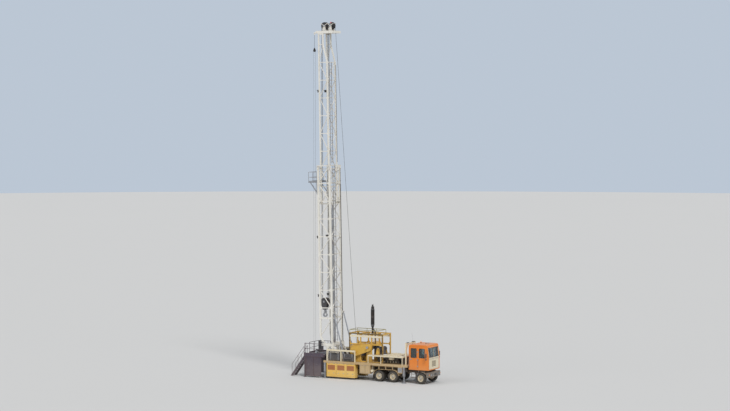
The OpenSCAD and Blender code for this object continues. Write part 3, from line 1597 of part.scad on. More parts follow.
place() leveling_jacks();
place() carrier_frame();
place() deck_plates();
place() front_bumper();
place() axle_beams();
place() cab_body();
place() cab_front();
place() cab_glass();
place() mast_base();
place() side_boxes();
place() bay_frames();
place() drawworks_frame();
place() drawworks_drum();
place() chain_case();
place() engine_block();
place() engine_canopy();
place() exhaust_stack();
place() side_lockers();
place() mast_rest();
place() lower_mast_near();
place() lower_mast_far();
place() lower_mast_back();
place() upper_mast_near();
place() upper_mast_far();
place() upper_mast_back();
place() crown_frame();
place() crown_sheaves();
place() racking_board();
place() scoping_ram();
place() raising_rams();
place() mast_ladder();
place() work_floor();
place() floor_rails();
place() rotary_table();
place() stair_treads();
place() stair_stringers();
place() rigging_lines();
place() drilling_lines();
place() travelling_block();
place() hook();
place() wheel_front_near();
place() wheel_front_far();
place() wheel_rear1_near();
place() wheel_rear1_far();
place() wheel_rear2_near();
place() wheel_rear2_far();
place() drum_guards();
place() hoist_rail();
place() radiator();
place() bay_equipment();
place() chassis_tanks();
place() racking_fingers();
place() tugger_winch();
place() floor_panels();
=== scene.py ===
import math

import bmesh
import bpy
from mathutils import Matrix, Vector
from mathutils.geometry import tessellate_polygon


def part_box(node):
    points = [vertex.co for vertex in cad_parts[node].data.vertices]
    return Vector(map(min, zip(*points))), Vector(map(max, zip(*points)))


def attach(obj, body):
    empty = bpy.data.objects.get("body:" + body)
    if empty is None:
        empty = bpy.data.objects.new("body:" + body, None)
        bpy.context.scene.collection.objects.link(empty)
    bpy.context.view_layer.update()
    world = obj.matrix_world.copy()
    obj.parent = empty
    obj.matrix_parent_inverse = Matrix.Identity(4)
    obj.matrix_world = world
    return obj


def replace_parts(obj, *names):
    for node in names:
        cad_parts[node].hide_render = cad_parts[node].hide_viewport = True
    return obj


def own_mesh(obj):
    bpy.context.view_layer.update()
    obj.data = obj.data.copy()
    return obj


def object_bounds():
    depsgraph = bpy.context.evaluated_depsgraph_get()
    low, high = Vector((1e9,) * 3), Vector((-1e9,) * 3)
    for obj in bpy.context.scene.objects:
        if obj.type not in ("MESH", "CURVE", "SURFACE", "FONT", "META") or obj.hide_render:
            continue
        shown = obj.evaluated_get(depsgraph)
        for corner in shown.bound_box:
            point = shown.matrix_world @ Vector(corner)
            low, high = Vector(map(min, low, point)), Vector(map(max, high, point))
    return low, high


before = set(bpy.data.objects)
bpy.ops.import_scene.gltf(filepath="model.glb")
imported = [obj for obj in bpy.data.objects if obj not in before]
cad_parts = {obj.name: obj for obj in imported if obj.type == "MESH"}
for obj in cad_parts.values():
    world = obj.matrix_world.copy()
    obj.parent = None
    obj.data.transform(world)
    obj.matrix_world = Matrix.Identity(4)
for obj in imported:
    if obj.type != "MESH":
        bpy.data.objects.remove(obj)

cad_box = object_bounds()

# Carrier frame and axles. The rig stands on two channel rails with cross members, and three
# axles hang from them on leaf springs. All of it is rolled steel in oily dark enamel, and
# dust from the road lies on whatever looks up.

# The carrier's own coordinates have the middle of the mast's foot at X = 0, as the drawing has.
mast_foot = Vector((-3.76, 0, 0))
carrier = Matrix.Translation(mast_foot)
# Ahead is towards the cab, and near and far are out at the carrier's two sides.
AHEAD, UP, NEAR, FAR = (1, 0, 0), (0, 0, 1), (0, -1, 0), (0, 1, 0)


def ends(node):
    """The lowest and the highest corner of a node, in the carrier's coordinates."""
    low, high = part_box(node)
    return low - mast_foot, high - mast_foot


def middle(node):
    """The middle of a node, in the carrier's coordinates."""
    low, high = ends(node)
    return (low + high) / 2


class Socket:
    """An output in a material's node tree. Arithmetic on it adds Math nodes."""

    def __init__(self, tree, output):
        self.tree = tree
        self.output = output

    def node(self, kind, settings=None, inputs=None, output=0):
        """Adds a node of any kind: its settings first, then the values or links of its sockets."""
        made = self.tree.nodes.new(kind)
        for name, value in (settings or {}).items():
            setattr(made, name, value)
        for name, value in (inputs or {}).items():
            if isinstance(value, Socket):
                self.tree.links.new(value.output, made.inputs[name])
            else:
                made.inputs[name].default_value = value
        return Socket(self.tree, made.outputs[output]) if made.outputs else made

    def math(self, operation, first, second=0.0):
        """Adds the Math node of an operation on one or two values."""
        return self.node("ShaderNodeMath", {"operation": operation}, {0: first, 1: second})

    def __add__(self, other):
        return self.math("ADD", self, other)

    def __sub__(self, other):
        return self.math("SUBTRACT", self, other)

    def __rsub__(self, other):
        return self.math("SUBTRACT", other, self)

    def __mul__(self, other):
        return self.math("MULTIPLY", self, other)

    __radd__ = __add__
    __rmul__ = __mul__


def noise(place, scale, detail=4.0, rough=0.6):
    """Fractal noise from 0 to 1, with about `scale` patches a metre."""
    inputs = {"Vector": place, "Scale": scale, "Detail": detail, "Roughness": rough}
    return place.node("ShaderNodeTexNoise", {}, inputs)


def stretched(place, x, y, z):
    """The same coordinates with another scale along each axis."""
    return place.node("ShaderNodeVectorMath", {"operation": "MULTIPLY"}, {0: place, 1: (x, y, z)})


def part_of(vector, axis):
    """One component of a vector."""
    return vector.node("ShaderNodeSeparateXYZ", {}, {0: vector}, axis)


def ramp(value, low, high):
    """0 below low, 1 above high, and smooth between them."""
    inputs = {"Value": value, "From Min": low, "From Max": high}
    return value.node("ShaderNodeMapRange", {"interpolation_type": "SMOOTHSTEP"}, inputs)


def mix(mask, first, second):
    """The first colour where the mask is 0, and the second where it is 1."""
    source = next(part for part in (mask, first, second) if isinstance(part, Socket))
    return source.node("ShaderNodeMix", {"data_type": "RGBA"}, {0: mask, 6: first, 7: second}, 2)


def colour(red, green, blue):
    """An opaque colour in linear values."""
    return (red, green, blue, 1.0)


dust_colour = colour(0.50, 0.40, 0.28)
rust_colour = colour(0.22, 0.085, 0.035)
slot_of = {}


def start_material(name, slot=None):
    """An empty material for a slot of the record, its object coordinates and its object normal."""
    material = bpy.data.materials.new(name)
    slot_of[material.name] = slot
    material.use_nodes = True
    tree = material.node_tree
    tree.nodes.clear()
    found = tree.nodes.new("ShaderNodeTexCoord").outputs
    return material, Socket(tree, found["Object"]), Socket(tree, found["Normal"])


def end_material(place, base, roughness, height, depth, constants=None, metallic=0.0):
    """Joins the colour, the roughness and the bump height to the shader."""
    bump = place.node("ShaderNodeBump", {}, {"Height": height, "Distance": depth, "Strength": 0.7})
    varying = {"Base Color": base, "Roughness": roughness, "Metallic": metallic, "Normal": bump}
    shader = place.node("ShaderNodeBsdfPrincipled", {}, {**varying, **(constants or {})})
    place.node("ShaderNodeOutputMaterial", {}, {"Surface": shader})


def worn_edges(place, radius):
    """1 along sharp edges, where the surface turns within the radius."""
    turned = place.node("ShaderNodeBevel", {"samples": 4}, {"Radius": radius})
    flat = place.node("ShaderNodeNewGeometry", output="Normal")
    along = place.node("ShaderNodeVectorMath", {"operation": "DOT_PRODUCT"}, {0: turned, 1: flat}, "Value")
    return ramp(1.0 - along, 0.01, 0.12)


def chequer(place, pitch):
    """The raised lozenges of tread plate, on two crossed sets of lines."""
    x, y = part_of(place, 0), part_of(place, 1)
    turn = 2 * math.pi / pitch
    return ramp(place.math("SINE", (x + y) * turn) * place.math("SINE", (x - y) * turn), 0.30, 0.65)


def enamel(name, slot, paint, faded, gloss=0.42, dust=0.5, rust=0.3, chips=0.5, soot=0.0, tread=0.0):
    """Enamel on steel, which fades, gathers dust, chips on its edges and streaks with rust."""
    material, place, normal = start_material(name, slot)
    broad = noise(place, 0.45, 3.0)
    grain = noise(place, 7.0, 6.0, 0.65)
    fine = noise(place, 55.0, 3.0)
    streaks = noise(stretched(place, 9.0, 9.0, 0.7), 1.0, 5.0, 0.6)
    settled = grain * 0.4 + fine * 0.35 + noise(place, 1.6, 5.0) * 0.25
    edges = worn_edges(place, 0.012)
    facing_up = part_of(normal, "Z")
    height = part_of(place, "Z")

    chip_level = 0.76 - 0.2 * chips
    chipped = ramp(edges * 0.55 + grain * 0.62, chip_level, chip_level + 0.04) * ramp(edges, 0.1, 0.4)
    pit_level = 0.70 - 0.08 * rust
    pitted = ramp(grain * 0.6 + fine * 0.25 + streaks * 0.3, pit_level, pit_level + 0.06)
    runs = ramp(streaks, 0.60 - 0.10 * rust, 0.80) * ramp(broad, 0.42, 0.62) * (0.85 * rust)
    low_dust = (1.0 - ramp(height, 0.3, 3.2)) * ramp(settled + broad * 0.5, 0.40, 1.10) * dust
    top_dust = ramp(facing_up, 0.5, 0.95) * ramp(settled, 0.20, 0.75) * (0.9 * dust)
    dusty = place.math("MAXIMUM", low_dust, top_dust)

    base = mix(ramp(broad * 0.7 + grain * 0.4, 0.35, 0.75), paint, faded)
    base = mix(ramp(fine, 0.3, 0.7) * 0.10, base, colour(*(0.6 * part for part in paint[:3])))
    base = mix(runs, base, rust_colour)
    base = mix(dusty, base, dust_colour)
    if soot:
        sooty = ramp(noise(place, 1.3, 4.0) + broad * 0.4, 0.62, 0.92) * soot
        base = mix(sooty, base, colour(0.035, 0.030, 0.028))
    base = mix(place.math("MAXIMUM", chipped, pitted) * 0.85, base, rust_colour)
    roughness = grain * 0.22 + dusty * 0.35 + chipped * 0.3 + (gloss - 0.08)
    relief = fine * 0.12 + grain * 0.25 - chipped * 0.5 + pitted * 0.3
    if tread:
        studs = chequer(place, 0.075) * ramp(facing_up, 0.9, 0.99)
        base = mix(studs * 0.35, base, colour(0.42, 0.41, 0.39))
        relief = relief + studs * tread
    end_material(place, base, roughness, relief, 0.0025, {"Specular IOR Level": 0.45})
    return material


def tyre_rubber(name, dust):
    """Black rubber with the dust of the road on it."""
    material, place, normal = start_material(name, "wheel_tyre")
    broad = noise(place, 2.5, 4.0)
    grain = noise(place, 26.0, 5.0)
    dusty = ramp(broad * 0.30 + grain * 0.45 + noise(place, 110.0, 3.0) * 0.3, 0.34, 0.82) * dust
    base = mix(dusty, colour(0.022, 0.021, 0.020), colour(0.30, 0.24, 0.17))
    end_material(place, base, dusty * 0.2 + 0.66, grain, 0.002)
    return material


def frame_of(direction):
    """Two unit vectors square to a direction and to each other."""
    ahead = direction.normalized()
    aside = Vector(UP) if abs(ahead.z) < 0.9 else Vector(AHEAD)
    across = aside.cross(ahead).normalized()
    return across, ahead.cross(across).normalized()


def steps(start, end, count):
    """Evenly spaced values, with both ends."""
    return [start + (end - start) * i / (count - 1) for i in range(count)]


def both(centre, reach):
    """The two values at a reach below and above the centre."""
    return centre - reach, centre + reach


def grid(*axes):
    """Places at every value along each axis, where a number alone is the only value."""
    xs, ys, zs = [axis if isinstance(axis, tuple) else (axis,) for axis in axes]
    return [(x, y, z) for x in xs for y in ys for z in zs]


def circle(centre, axis, radius, count, phase=0.0):
    """Evenly spaced points on a circle about an axis."""
    across, up = frame_of(Vector(axis))
    angles = [phase + 2 * math.pi * i / count for i in range(count)]
    return [Vector(centre) + (across * math.cos(a) + up * math.sin(a)) * radius for a in angles]


def arc(centre, radius, start, end, count):
    """Points of an arc in a flat outline, between two angles in degrees."""
    angles = [math.radians(a) for a in steps(start, end, count)]
    return [(centre[0] + radius * math.cos(a), centre[1] + radius * math.sin(a)) for a in angles]


def rounded(x0, z0, x1, z1, radius, count=5):
    """A rectangle with round corners, as a flat outline."""
    left, low, right, high = x0 + radius, z0 + radius, x1 - radius, z1 - radius
    corners = enumerate([(right, low), (right, high), (left, high), (left, low)])
    return [point for k, corner in corners for point in arc(corner, radius, 90 * k - 90, 90 * k, count)]


def upright(outline, y):
    """A flat outline in X and Z, placed across the carrier."""
    return [(x, y, z) for x, z in outline]


def facing(outline, x):
    """A flat outline in Y and Z, placed along the carrier."""
    return [(x, y, z) for y, z in outline]


def smooth_path(points, count=6):
    """A Catmull-Rom curve through the points."""
    path = []
    for i in range(len(points) - 1):
        before = points[max(i - 1, 0)]
        here, after = points[i], points[i + 1]
        beyond = points[min(i + 2, len(points) - 1)]
        linear = after - before
        square = before * 2 - here * 5 + after * 4 - beyond
        cube = here * 3 - before - after * 3 + beyond
        for t in (k / count for k in range(count)):
            path.append((here * 2 + linear * t + square * t ** 2 + cube * t ** 3) / 2)
    return path + [points[-1]]


def skin(count):
    """The faces of a solid between two loops of points."""
    walls = [(i, (i + 1) % count, (i + 1) % count + count, i + count) for i in range(count)]
    return [tuple(reversed(range(count))), tuple(range(count, 2 * count))] + walls


class Piece:
    """Gathers the faces of one piece of one finish, and makes it an object that rides on a body."""

    def __init__(self, name, material, edge=0.0, smooth=38, slot=None):
        self.name = name
        self.material = material
        self.edge = edge
        self.smooth = smooth
        self.slot = slot or slot_of[material.name]
        self.points = []
        self.faces = []

    def add(self, points, faces):
        """Takes in a solid by its points and the faces between them."""
        start = len(self.points)
        self.points += [Vector(point) for point in points]
        self.faces += [tuple(start + index for index in face) for face in faces]

    def pin(self, centre, axis, half, radius, sides=12):
        """A round rod that reaches as far to both sides of its centre."""
        reach = Vector(axis) * half
        self.rod(Vector(centre) - reach, Vector(centre) + reach, radius, sides)

    def box(self, low, high):
        """A box between two corners."""
        (x0, y0, z0), (x1, y1, z1) = low, high
        self.add([(x, y, z) for z in (z0, z1) for x, y in ((x0, y0), (x1, y0), (x1, y1), (x0, y1))], skin(4))

    def prism(self, outline, start, end):
        """An outline of points, moved from one offset to another."""
        points = [Vector(point) + Vector(offset) for offset in (start, end) for point in outline]
        self.add(points, skin(len(outline)))

    def side_plate(self, outline, y0, y1):
        """An outline in X and Z, as thick as from y0 to y1."""
        self.prism(upright(outline, 0), (0, y0, 0), (0, y1, 0))

    def front_plate(self, outline, x0, x1):
        """An outline in Y and Z, as thick as from x0 to x1."""
        self.prism(facing(outline, 0), (x0, 0, 0), (x1, 0, 0))

    def plate(self, outline, depth, holes=()):
        """A flat plate with holes cut through it."""
        loops = [[Vector(point) for point in loop] for loop in (outline, *holes)]
        flat = [point for loop in loops for point in loop]
        count = len(flat)
        faces = [tuple(face) for face in tessellate_polygon(loops)]
        faces += [tuple(count + index for index in reversed(face)) for face in faces]
        first = 0
        for loop in loops:
            size = len(loop)
            turn = [(first + i, first + (i + 1) % size) for i in range(size)]
            faces += [(a, b, b + count, a + count) for a, b in turn]
            first += size
        self.add(flat + [point + Vector(depth) for point in flat], faces)

    def bar(self, start, end, width, height=None):
        """A square or flat bar from one point to another."""
        start, end = Vector(start), Vector(end)
        across, up = frame_of(end - start)
        w, h = width / 2, (height or width) / 2
        self.prism([across * x + up * y for x, y in ((-w, -h), (w, -h), (w, h), (-w, h))], start, end)

    def rod(self, start, end, radius, sides=12, end_radius=None):
        """A round rod, or a cone, from one point to another."""
        along = Vector(end) - Vector(start)
        tip = radius if end_radius is None else end_radius
        self.add(circle(start, along, radius, sides) + circle(end, along, tip, sides), skin(sides))

    def lathe(self, profile, centre, axis=FAR, sides=32):
        """A closed outline of (radius, offset) points, turned about an axis through the centre."""
        along, count = Vector(axis).normalized(), len(profile)
        around = circle((0, 0, 0), axis, 1.0, sides)
        points = [Vector(centre) + out * r + along * offset for out in around for r, offset in profile]
        faces = []
        for i in range(sides):
            here, after = i * count, (i + 1) % sides * count
            pairs = [(j, (j + 1) % count) for j in range(count)]
            faces += [(here + j, after + j, after + k, here + k) for j, k in pairs]
        self.add(points, faces)

    def turned(self, profile, centre, axis=FAR, sides=32, core=0.002):
        """A solid that is turned about an axis from an open outline, and closed at its core."""
        self.lathe([(core, profile[0][1]), *profile, (core, profile[-1][1])], centre, axis, sides)

    def ring(self, inner, outer, thick, centre, axis=UP, sides=32):
        """A flat ring that stands on its centre."""
        self.lathe([(inner, 0), (outer, 0), (outer, thick), (inner, thick)], centre, axis, sides)

    def hose(self, route, radius, sides=8, bent=True):
        """A round tube along a smooth curve through its route, or straight from point to point."""
        route = [Vector(point) for point in route]
        path = smooth_path(route) if bent else route
        across = frame_of(path[1] - path[0])[0]
        angles = [2 * math.pi * k / sides for k in range(sides)]
        rings = []
        for i, point in enumerate(path):
            ahead = (path[min(i + 1, len(path) - 1)] - path[max(i - 1, 0)]).normalized()
            across = (across - ahead * across.dot(ahead)).normalized()
            up = ahead.cross(across)
            rings += [point + (across * math.cos(a) + up * math.sin(a)) * radius for a in angles]
        faces = [tuple(reversed(range(sides))), tuple(range(len(rings) - sides, len(rings)))]
        pairs = [(k, (k + 1) % sides) for k in range(sides)]
        for here in range(0, len(rings) - sides, sides):
            after = here + sides
            faces += [(here + j, here + k, after + k, after + j) for j, k in pairs]
        self.add(rings, faces)

    def loop(self, route, radius, sides=6):
        """A round bead that runs along a closed route."""
        self.hose(list(route) + list(route)[:1], radius, sides, bent=False)

    def bolts(self, places, direction, radius=0.014, height=0.012):
        """Six-sided bolt heads that stand on a face."""
        for place in places:
            self.rod(place, Vector(place) + Vector(direction).normalized() * height, radius, 6)

    def make(self, body="rig", where=carrier):
        """The object itself, with its finish and the body that carries it."""
        mesh = bpy.data.meshes.new(self.name)
        mesh.from_pydata(self.points, [], self.faces)
        mesh.transform(where)
        outward = bmesh.new()
        outward.from_mesh(mesh)
        bmesh.ops.recalc_face_normals(outward, faces=outward.faces)
        outward.to_mesh(mesh)
        outward.free()
        made = bpy.data.objects.new(self.name, mesh)
        bpy.context.scene.collection.objects.link(made)
        mesh.materials.append(self.material)
        mesh.shade_smooth()
        mesh.set_sharp_from_angle(angle=math.radians(self.smooth))
        round_edges(made, self.edge)
        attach(made, body)
        return made


def mirror(*pieces):
    """Adds the same faces to each piece on the other side of the carrier."""
    for piece in pieces:
        piece.add([(point.x, -point.y, point.z) for point in piece.points], list(piece.faces))


def make(*pieces, body="rig", where=carrier):
    """Makes the objects of several pieces on one body."""
    for piece in pieces:
        piece.make(body, where)


def round_edges(made, width):
    """A small rounding on the sharp edges, which catches the light as rolled and ground steel does."""
    if width:
        rounding = made.modifiers.new("rounding", "BEVEL")
        rounding.width = width
        rounding.segments = 2
        rounding.limit_method = "ANGLE"
        rounding.angle_limit = math.radians(40)
        rounding.harden_normals = True


def dress(material, *nodes, edge=0.0):
    """Gives the pieces that come with the frame their finish."""
    for name in nodes:
        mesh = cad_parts[name].data
        mesh.materials.clear()
        mesh.materials.append(material)
        round_edges(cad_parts[name], edge)


oily_enamel = enamel("oily_enamel", "dark_paint", colour(0.050, 0.049, 0.054), colour(0.092, 0.090, 0.094),
                     gloss=0.45, dust=0.58, rust=0.4, chips=0.3)
hose_rubber = tyre_rubber("hose_rubber", 0.35)
dress(oily_enamel, "carrier_frame", "axle_beams", edge=0.004)

rail_y, rail_z0, rail_z1 = 0.45, 0.98, 1.30
axles = [middle(f"wheel_{axle}_near").x for axle in ("rear1", "rear2", "front")]
axle_z = middle("wheel_front_near").z
spring_y, spring_half, spring_rise = -0.52, 0.62, 0.20
spring_seat = axle_z + 0.09
leaf_count, leaf_step, leaf_thick = 7, 0.012, 0.0105
gearbox_x0, gearbox_x1, gearbox_shaft_z = 4.55, 5.12, 0.86
steering_x, steering_z = 10.28, 0.53


def leaf_spring(piece, x):
    """A pack of leaves with the longest on top, its eyes, hangers and U-bolts."""
    for leaf in range(leaf_count):
        half = spring_half - 0.075 * leaf
        low = spring_seat + leaf_step * (leaf_count - 1 - leaf)
        curve = [(x + dx, low + spring_rise * (dx / spring_half) ** 2) for dx in steps(-half, half, 11)]
        outline = curve + [(cx, cz + leaf_thick) for cx, cz in reversed(curve)]
        piece.side_plate(outline, spring_y - 0.04, spring_y + 0.04)
    eye_z = spring_seat + leaf_step * (leaf_count - 1) + spring_rise
    for end in (-1, 1):
        eye_x = x + end * spring_half
        piece.pin((eye_x, spring_y, eye_z), FAR, 0.055, 0.032, 16)
        ear = [(eye_x - 0.09, rail_z0 + 0.16), (eye_x + 0.09, rail_z0 + 0.16), (eye_x + 0.04, eye_z - 0.05),
               (eye_x - 0.04, eye_z - 0.05)]
        for y in (spring_y - 0.055, spring_y + 0.045):
            piece.side_plate(ear, y, y + 0.012)
        piece.box((eye_x - 0.09, spring_y - 0.05, rail_z0 + 0.13), (eye_x + 0.09, -rail_y, rail_z0 + 0.15))
        piece.bolts([(eye_x, spring_y - 0.055, eye_z)], NEAR, 0.022, 0.016)
        u_bolt = [(-0.05, -0.19), (-0.05, 0.08), (0, 0.105), (0.05, 0.08), (0.05, -0.19)]
        piece.hose([(x + end * 0.07, spring_y + dy, spring_seat + dz) for dy, dz in u_bolt], 0.010)
    under = spring_seat - 0.20
    piece.box((x - 0.11, spring_y - 0.07, under), (x + 0.11, spring_y + 0.07, under + 0.018))


def drive_shaft(piece, start, end):
    """A tube with a universal joint at each end."""
    start, end = Vector(start), Vector(end)
    along = (end - start).normalized()
    piece.rod(start + along * 0.09, end - along * 0.09, 0.042, 18)
    for joint, way in ((start, along), (end, -along)):
        cross = joint + way * 0.06
        piece.rod(joint, joint + way * 0.035, 0.075, 18)
        for arm in frame_of(way):
            piece.pin(cross, arm, 0.06, 0.02, 10)
        piece.rod(joint + way * 0.085, joint + way * 0.13, 0.055, 18, 0.042)
        piece.bolts(circle(joint + way * 0.035, way, 0.06, 6), way, 0.009, 0.01)


gear = Piece("running_gear", oily_enamel, edge=0.002)
for x in steps(-0.07, 10.43, 8):
    gear.bolts(grid(both(x, 0.03), -rail_y, (1.06, 1.14, 1.22)), NEAR)
for x in axles:
    leaf_spring(gear, x)
    brake = Vector((x - 0.20, -0.28, axle_z + 0.20))
    gear.pin(brake, FAR, 0.08, 0.085, 20)
    gear.ring(0.02, 0.092, 0.018, brake + Vector((0, -0.01, 0)), FAR)
    gear.bar(brake - Vector((0, 0, 0.08)), brake + Vector((0.12, 0, -0.14)), 0.05, 0.012)
for y in (-0.92, -0.55):
    gear.pin((steering_x, y, steering_z), UP, 0.03, 0.03, 12)
mirror(gear)
housing = [(0.12, -0.2), (0.21, -0.11), (0.245, 0), (0.21, 0.11), (0.12, 0.2)]
for x in axles[:2]:
    gear.turned(housing, (x, 0, axle_z), sides=36)
    for way in (-1, 1):
        gear.rod((x + way * 0.16, 0, axle_z + 0.02), (x + way * 0.40, 0, axle_z + 0.04), 0.13, 20, 0.075)
    gear.bolts(circle((x, -0.10, axle_z), FAR, 0.225, 14), NEAR, 0.010, 0.03)
gear.side_plate(rounded(gearbox_x0, 0.72, gearbox_x1, 1.22, 0.1), -0.24, 0.24)
for y in (-0.25, 0.24):
    gear.side_plate(rounded(gearbox_x0 + 0.05, 0.77, gearbox_x1 - 0.05, 1.17, 0.08), y, y + 0.012)
pinion_z = axle_z + 0.04
drive_shaft(gear, (gearbox_x1, 0, gearbox_shaft_z), (axles[0] - 0.40, 0, pinion_z))
drive_shaft(gear, (axles[0] + 0.40, 0, pinion_z), (axles[1] - 0.40, 0, pinion_z))
gear.pin((steering_x, 0, steering_z), FAR, 0.95, 0.022, 12)
gear.make()

lines = Piece("frame_lines", hose_rubber)
clamps = steps(3.45, 9.1, 9)
for k in range(4):
    y, z = -rail_y - 0.02, rail_z1 - 0.05 - 0.032 * k
    route = []
    for a, b in zip(clamps, clamps[1:]):
        route += [(a, y, z), ((a + b) / 2, y - 0.006, z - 0.010 - 0.002 * k)]
    lines.hose(route + [(clamps[-1], y, z)], 0.011, 8)
for x in axles:
    lines.hose([(x - 0.20, -0.37, axle_z + 0.22), (x - 0.26, -0.40, axle_z + 0.30),
                (x - 0.24, -0.42, axle_z + 0.42), (x - 0.20, -0.44, rail_z1 - 0.1)], 0.010)
mirror(lines)
lines.make()


# Wheels. Six steel disc wheels with road tyres, doubled on the two rear axles. The tyres are
# dusty black rubber with five rows of blocks, and the discs are cream enamel, bright at the hubs.
tyre_half, tread_r, tread_low_r, tread_shoulder_r = 0.145, 0.540, 0.515, 0.526
tread_count, tread_pitch = 54, 0.0505
plate_r, hand_hole_r, nut_r = 0.238, 0.200, 0.136
hub_reach = 1.345
cream_enamel = enamel("cream_enamel", "cream_paint", colour(0.72, 0.62, 0.42), colour(0.76, 0.69, 0.52),
                      gloss=0.36, dust=0.35, rust=0.3, chips=0.4)
rubber = tyre_rubber("tyre_rubber", 0.34)


def tread_block(piece, angle, z0, z1, top0, top1, slant):
    """One block of the tread, with a radius of its own at each edge."""
    wide = math.radians(4.9)
    loop = []
    for z, t, top in ((z0, angle, top0), (z1, angle + slant, top1)):
        corners = ((tread_low_r, t), (top, t), (top, t + wide), (tread_low_r, t + wide))
        loop += [(r * math.cos(a), r * math.sin(a), z) for r, a in corners]
    piece.add(loop, skin(4))


def tyre(piece, offset):
    """One tyre about the Z axis: a carcass with ribbed walls, and its tread."""
    wall = [(0.298, 0.092), (0.306, 0.122), (0.330, 0.134), (0.338, 0.1345), (0.342, 0.139), (0.350, 0.1425),
            (0.400, tyre_half), (0.440, tyre_half), (0.446, 0.1425), (0.470, 0.1415), (0.474, 0.139),
            (0.500, 0.132), (0.514, 0.122), (0.5195, 0.110)]
    profile = [(r, -z) for r, z in wall] + [(r, z) for r, z in reversed(wall)]
    piece.lathe(profile, (0, 0, offset), UP, 96)
    for k in range(tread_count):
        for row in range(-2, 3):
            angle = math.radians(360 / tread_count) * (k + 0.5 * (row % 2))
            across = offset + tread_pitch * row
            if abs(row) == 2:
                out = math.copysign(1, row)
                inner, outer = across - out * 0.020, across + out * 0.030
                tread_block(piece, angle, inner, outer, tread_r, tread_shoulder_r, math.radians(1.4))
            else:
                tread_block(piece, angle, across - 0.020, across + 0.020, tread_r, tread_r, math.radians(1.8))


def rim(piece, offset):
    """The channel that holds one tyre, about the Z axis."""
    outer = [(0.306, 0.137), (0.306, 0.130), (0.291, 0.127), (0.286, 0.104), (0.267, 0.094), (0.263, 0.040)]
    inner = [(0.253, 0.040), (0.257, 0.100), (0.276, 0.109), (0.281, 0.133)]
    profile = outer + [(r, -z) for r, z in reversed(outer)] + [(r, -z) for r, z in reversed(inner)] + inner
    piece.lathe(profile, (0, 0, offset), UP, 72)


def wheel(node, body):
    """A wheel on its hub. Locally its outer side looks up, and it is turned to face outwards."""
    centre = middle(node)
    outward = -1 if centre.y < 0 else 1
    half = (ends(node)[1].y - ends(node)[0].y) / 2
    dual = half > 1.5 * tyre_half
    offsets = (half - tyre_half, tyre_half - half) if dual else (0.0,)
    plate = Vector((0, 0, half - 0.110 if dual else 0.010))
    cap = Vector((0, 0, hub_reach - abs(centre.y)))
    where = carrier @ Matrix.Translation(centre) @ Matrix.Rotation(math.radians(-90 * outward), 4, "X")

    tyres = Piece(node + "_tyre", rubber, smooth=30)
    disc = Piece(node + "_disc", cream_enamel, smooth=30)
    hub = Piece(node + "_hub", bare_steel, smooth=30)
    for offset in offsets:
        tyre(tyres, offset)
        rim(disc, offset)
    hand_holes = [circle(place, UP, 0.025, 14) for place in circle(plate, UP, hand_hole_r, 10)]
    disc.plate(circle(plate, UP, plate_r, 72), (0, 0, 0.012), hand_holes)
    cone = [(0.232, 0.012), (0.232, 0), (0.252, -0.045), (0.258, -0.045), (0.240, 0.012)]
    disc.lathe(cone, plate, UP, 72)
    boss = [(0.05, 0.010), (0.158, 0.010), (0.158, 0.024), (0.112, 0.034), (0.098, 0.060), (0.05, 0.060)]
    disc.lathe(boss, plate, UP, 48)
    nuts = circle(plate + Vector((0, 0, 0.024)), UP, nut_r, 10)
    hub.bolts(nuts, UP, 0.017, 0.022)
    for nut in nuts:
        hub.rod(nut, nut + Vector((0, 0, 0.036)), 0.009, 10)
    hub.turned([(0.082, -0.10), (0.082, -0.030), (0.070, -0.012), (0.052, 0)], cap, UP)
    hub.bolts(circle(cap - Vector((0, 0, 0.03)), UP, 0.078, 8), UP, 0.008, 0.006)
    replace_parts(tyres.make(body, where), node)
    make(disc, hub, body=body, where=where)


def worn_steel(name, slot, bright, dull, shine=0.32, metal=0.85, dust=0.3):
    """Machined or rolled steel, rubbed bright in places and dull with oil and rust in others."""
    material, place, normal = start_material(name, slot)
    broad = noise(place, 1.3, 4.0)
    grain = noise(place, 14.0, 6.0, 0.7)
    scores = noise(stretched(place, 40.0, 40.0, 4.0), 1.0, 3.0)
    rusty = ramp(grain * 0.55 + broad * 0.55, 0.60, 0.72)
    dusty = ramp(part_of(normal, "Z"), 0.5, 0.95) * ramp(grain, 0.3, 0.7) * dust
    base = mix(ramp(broad * 0.5 + grain * 0.5, 0.35, 0.65), bright, dull)
    base = mix(rusty * 0.45, base, rust_colour)
    base = mix(dusty, base, dust_colour)
    metallic = (1.0 - place.math("MAXIMUM", rusty, dusty)) * metal
    roughness = rusty * 0.3 + scores * 0.2 + dusty * 0.3 + (shine - 0.05)
    end_material(place, base, roughness, scores * 0.4 + grain, 0.0012, metallic=metallic)
    return material


bare_steel = worn_steel("bare_steel", "bare_steel", colour(0.50, 0.50, 0.51), colour(0.30, 0.30, 0.31))
for name in [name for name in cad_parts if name.startswith("wheel_")]:
    wheel(name, name)


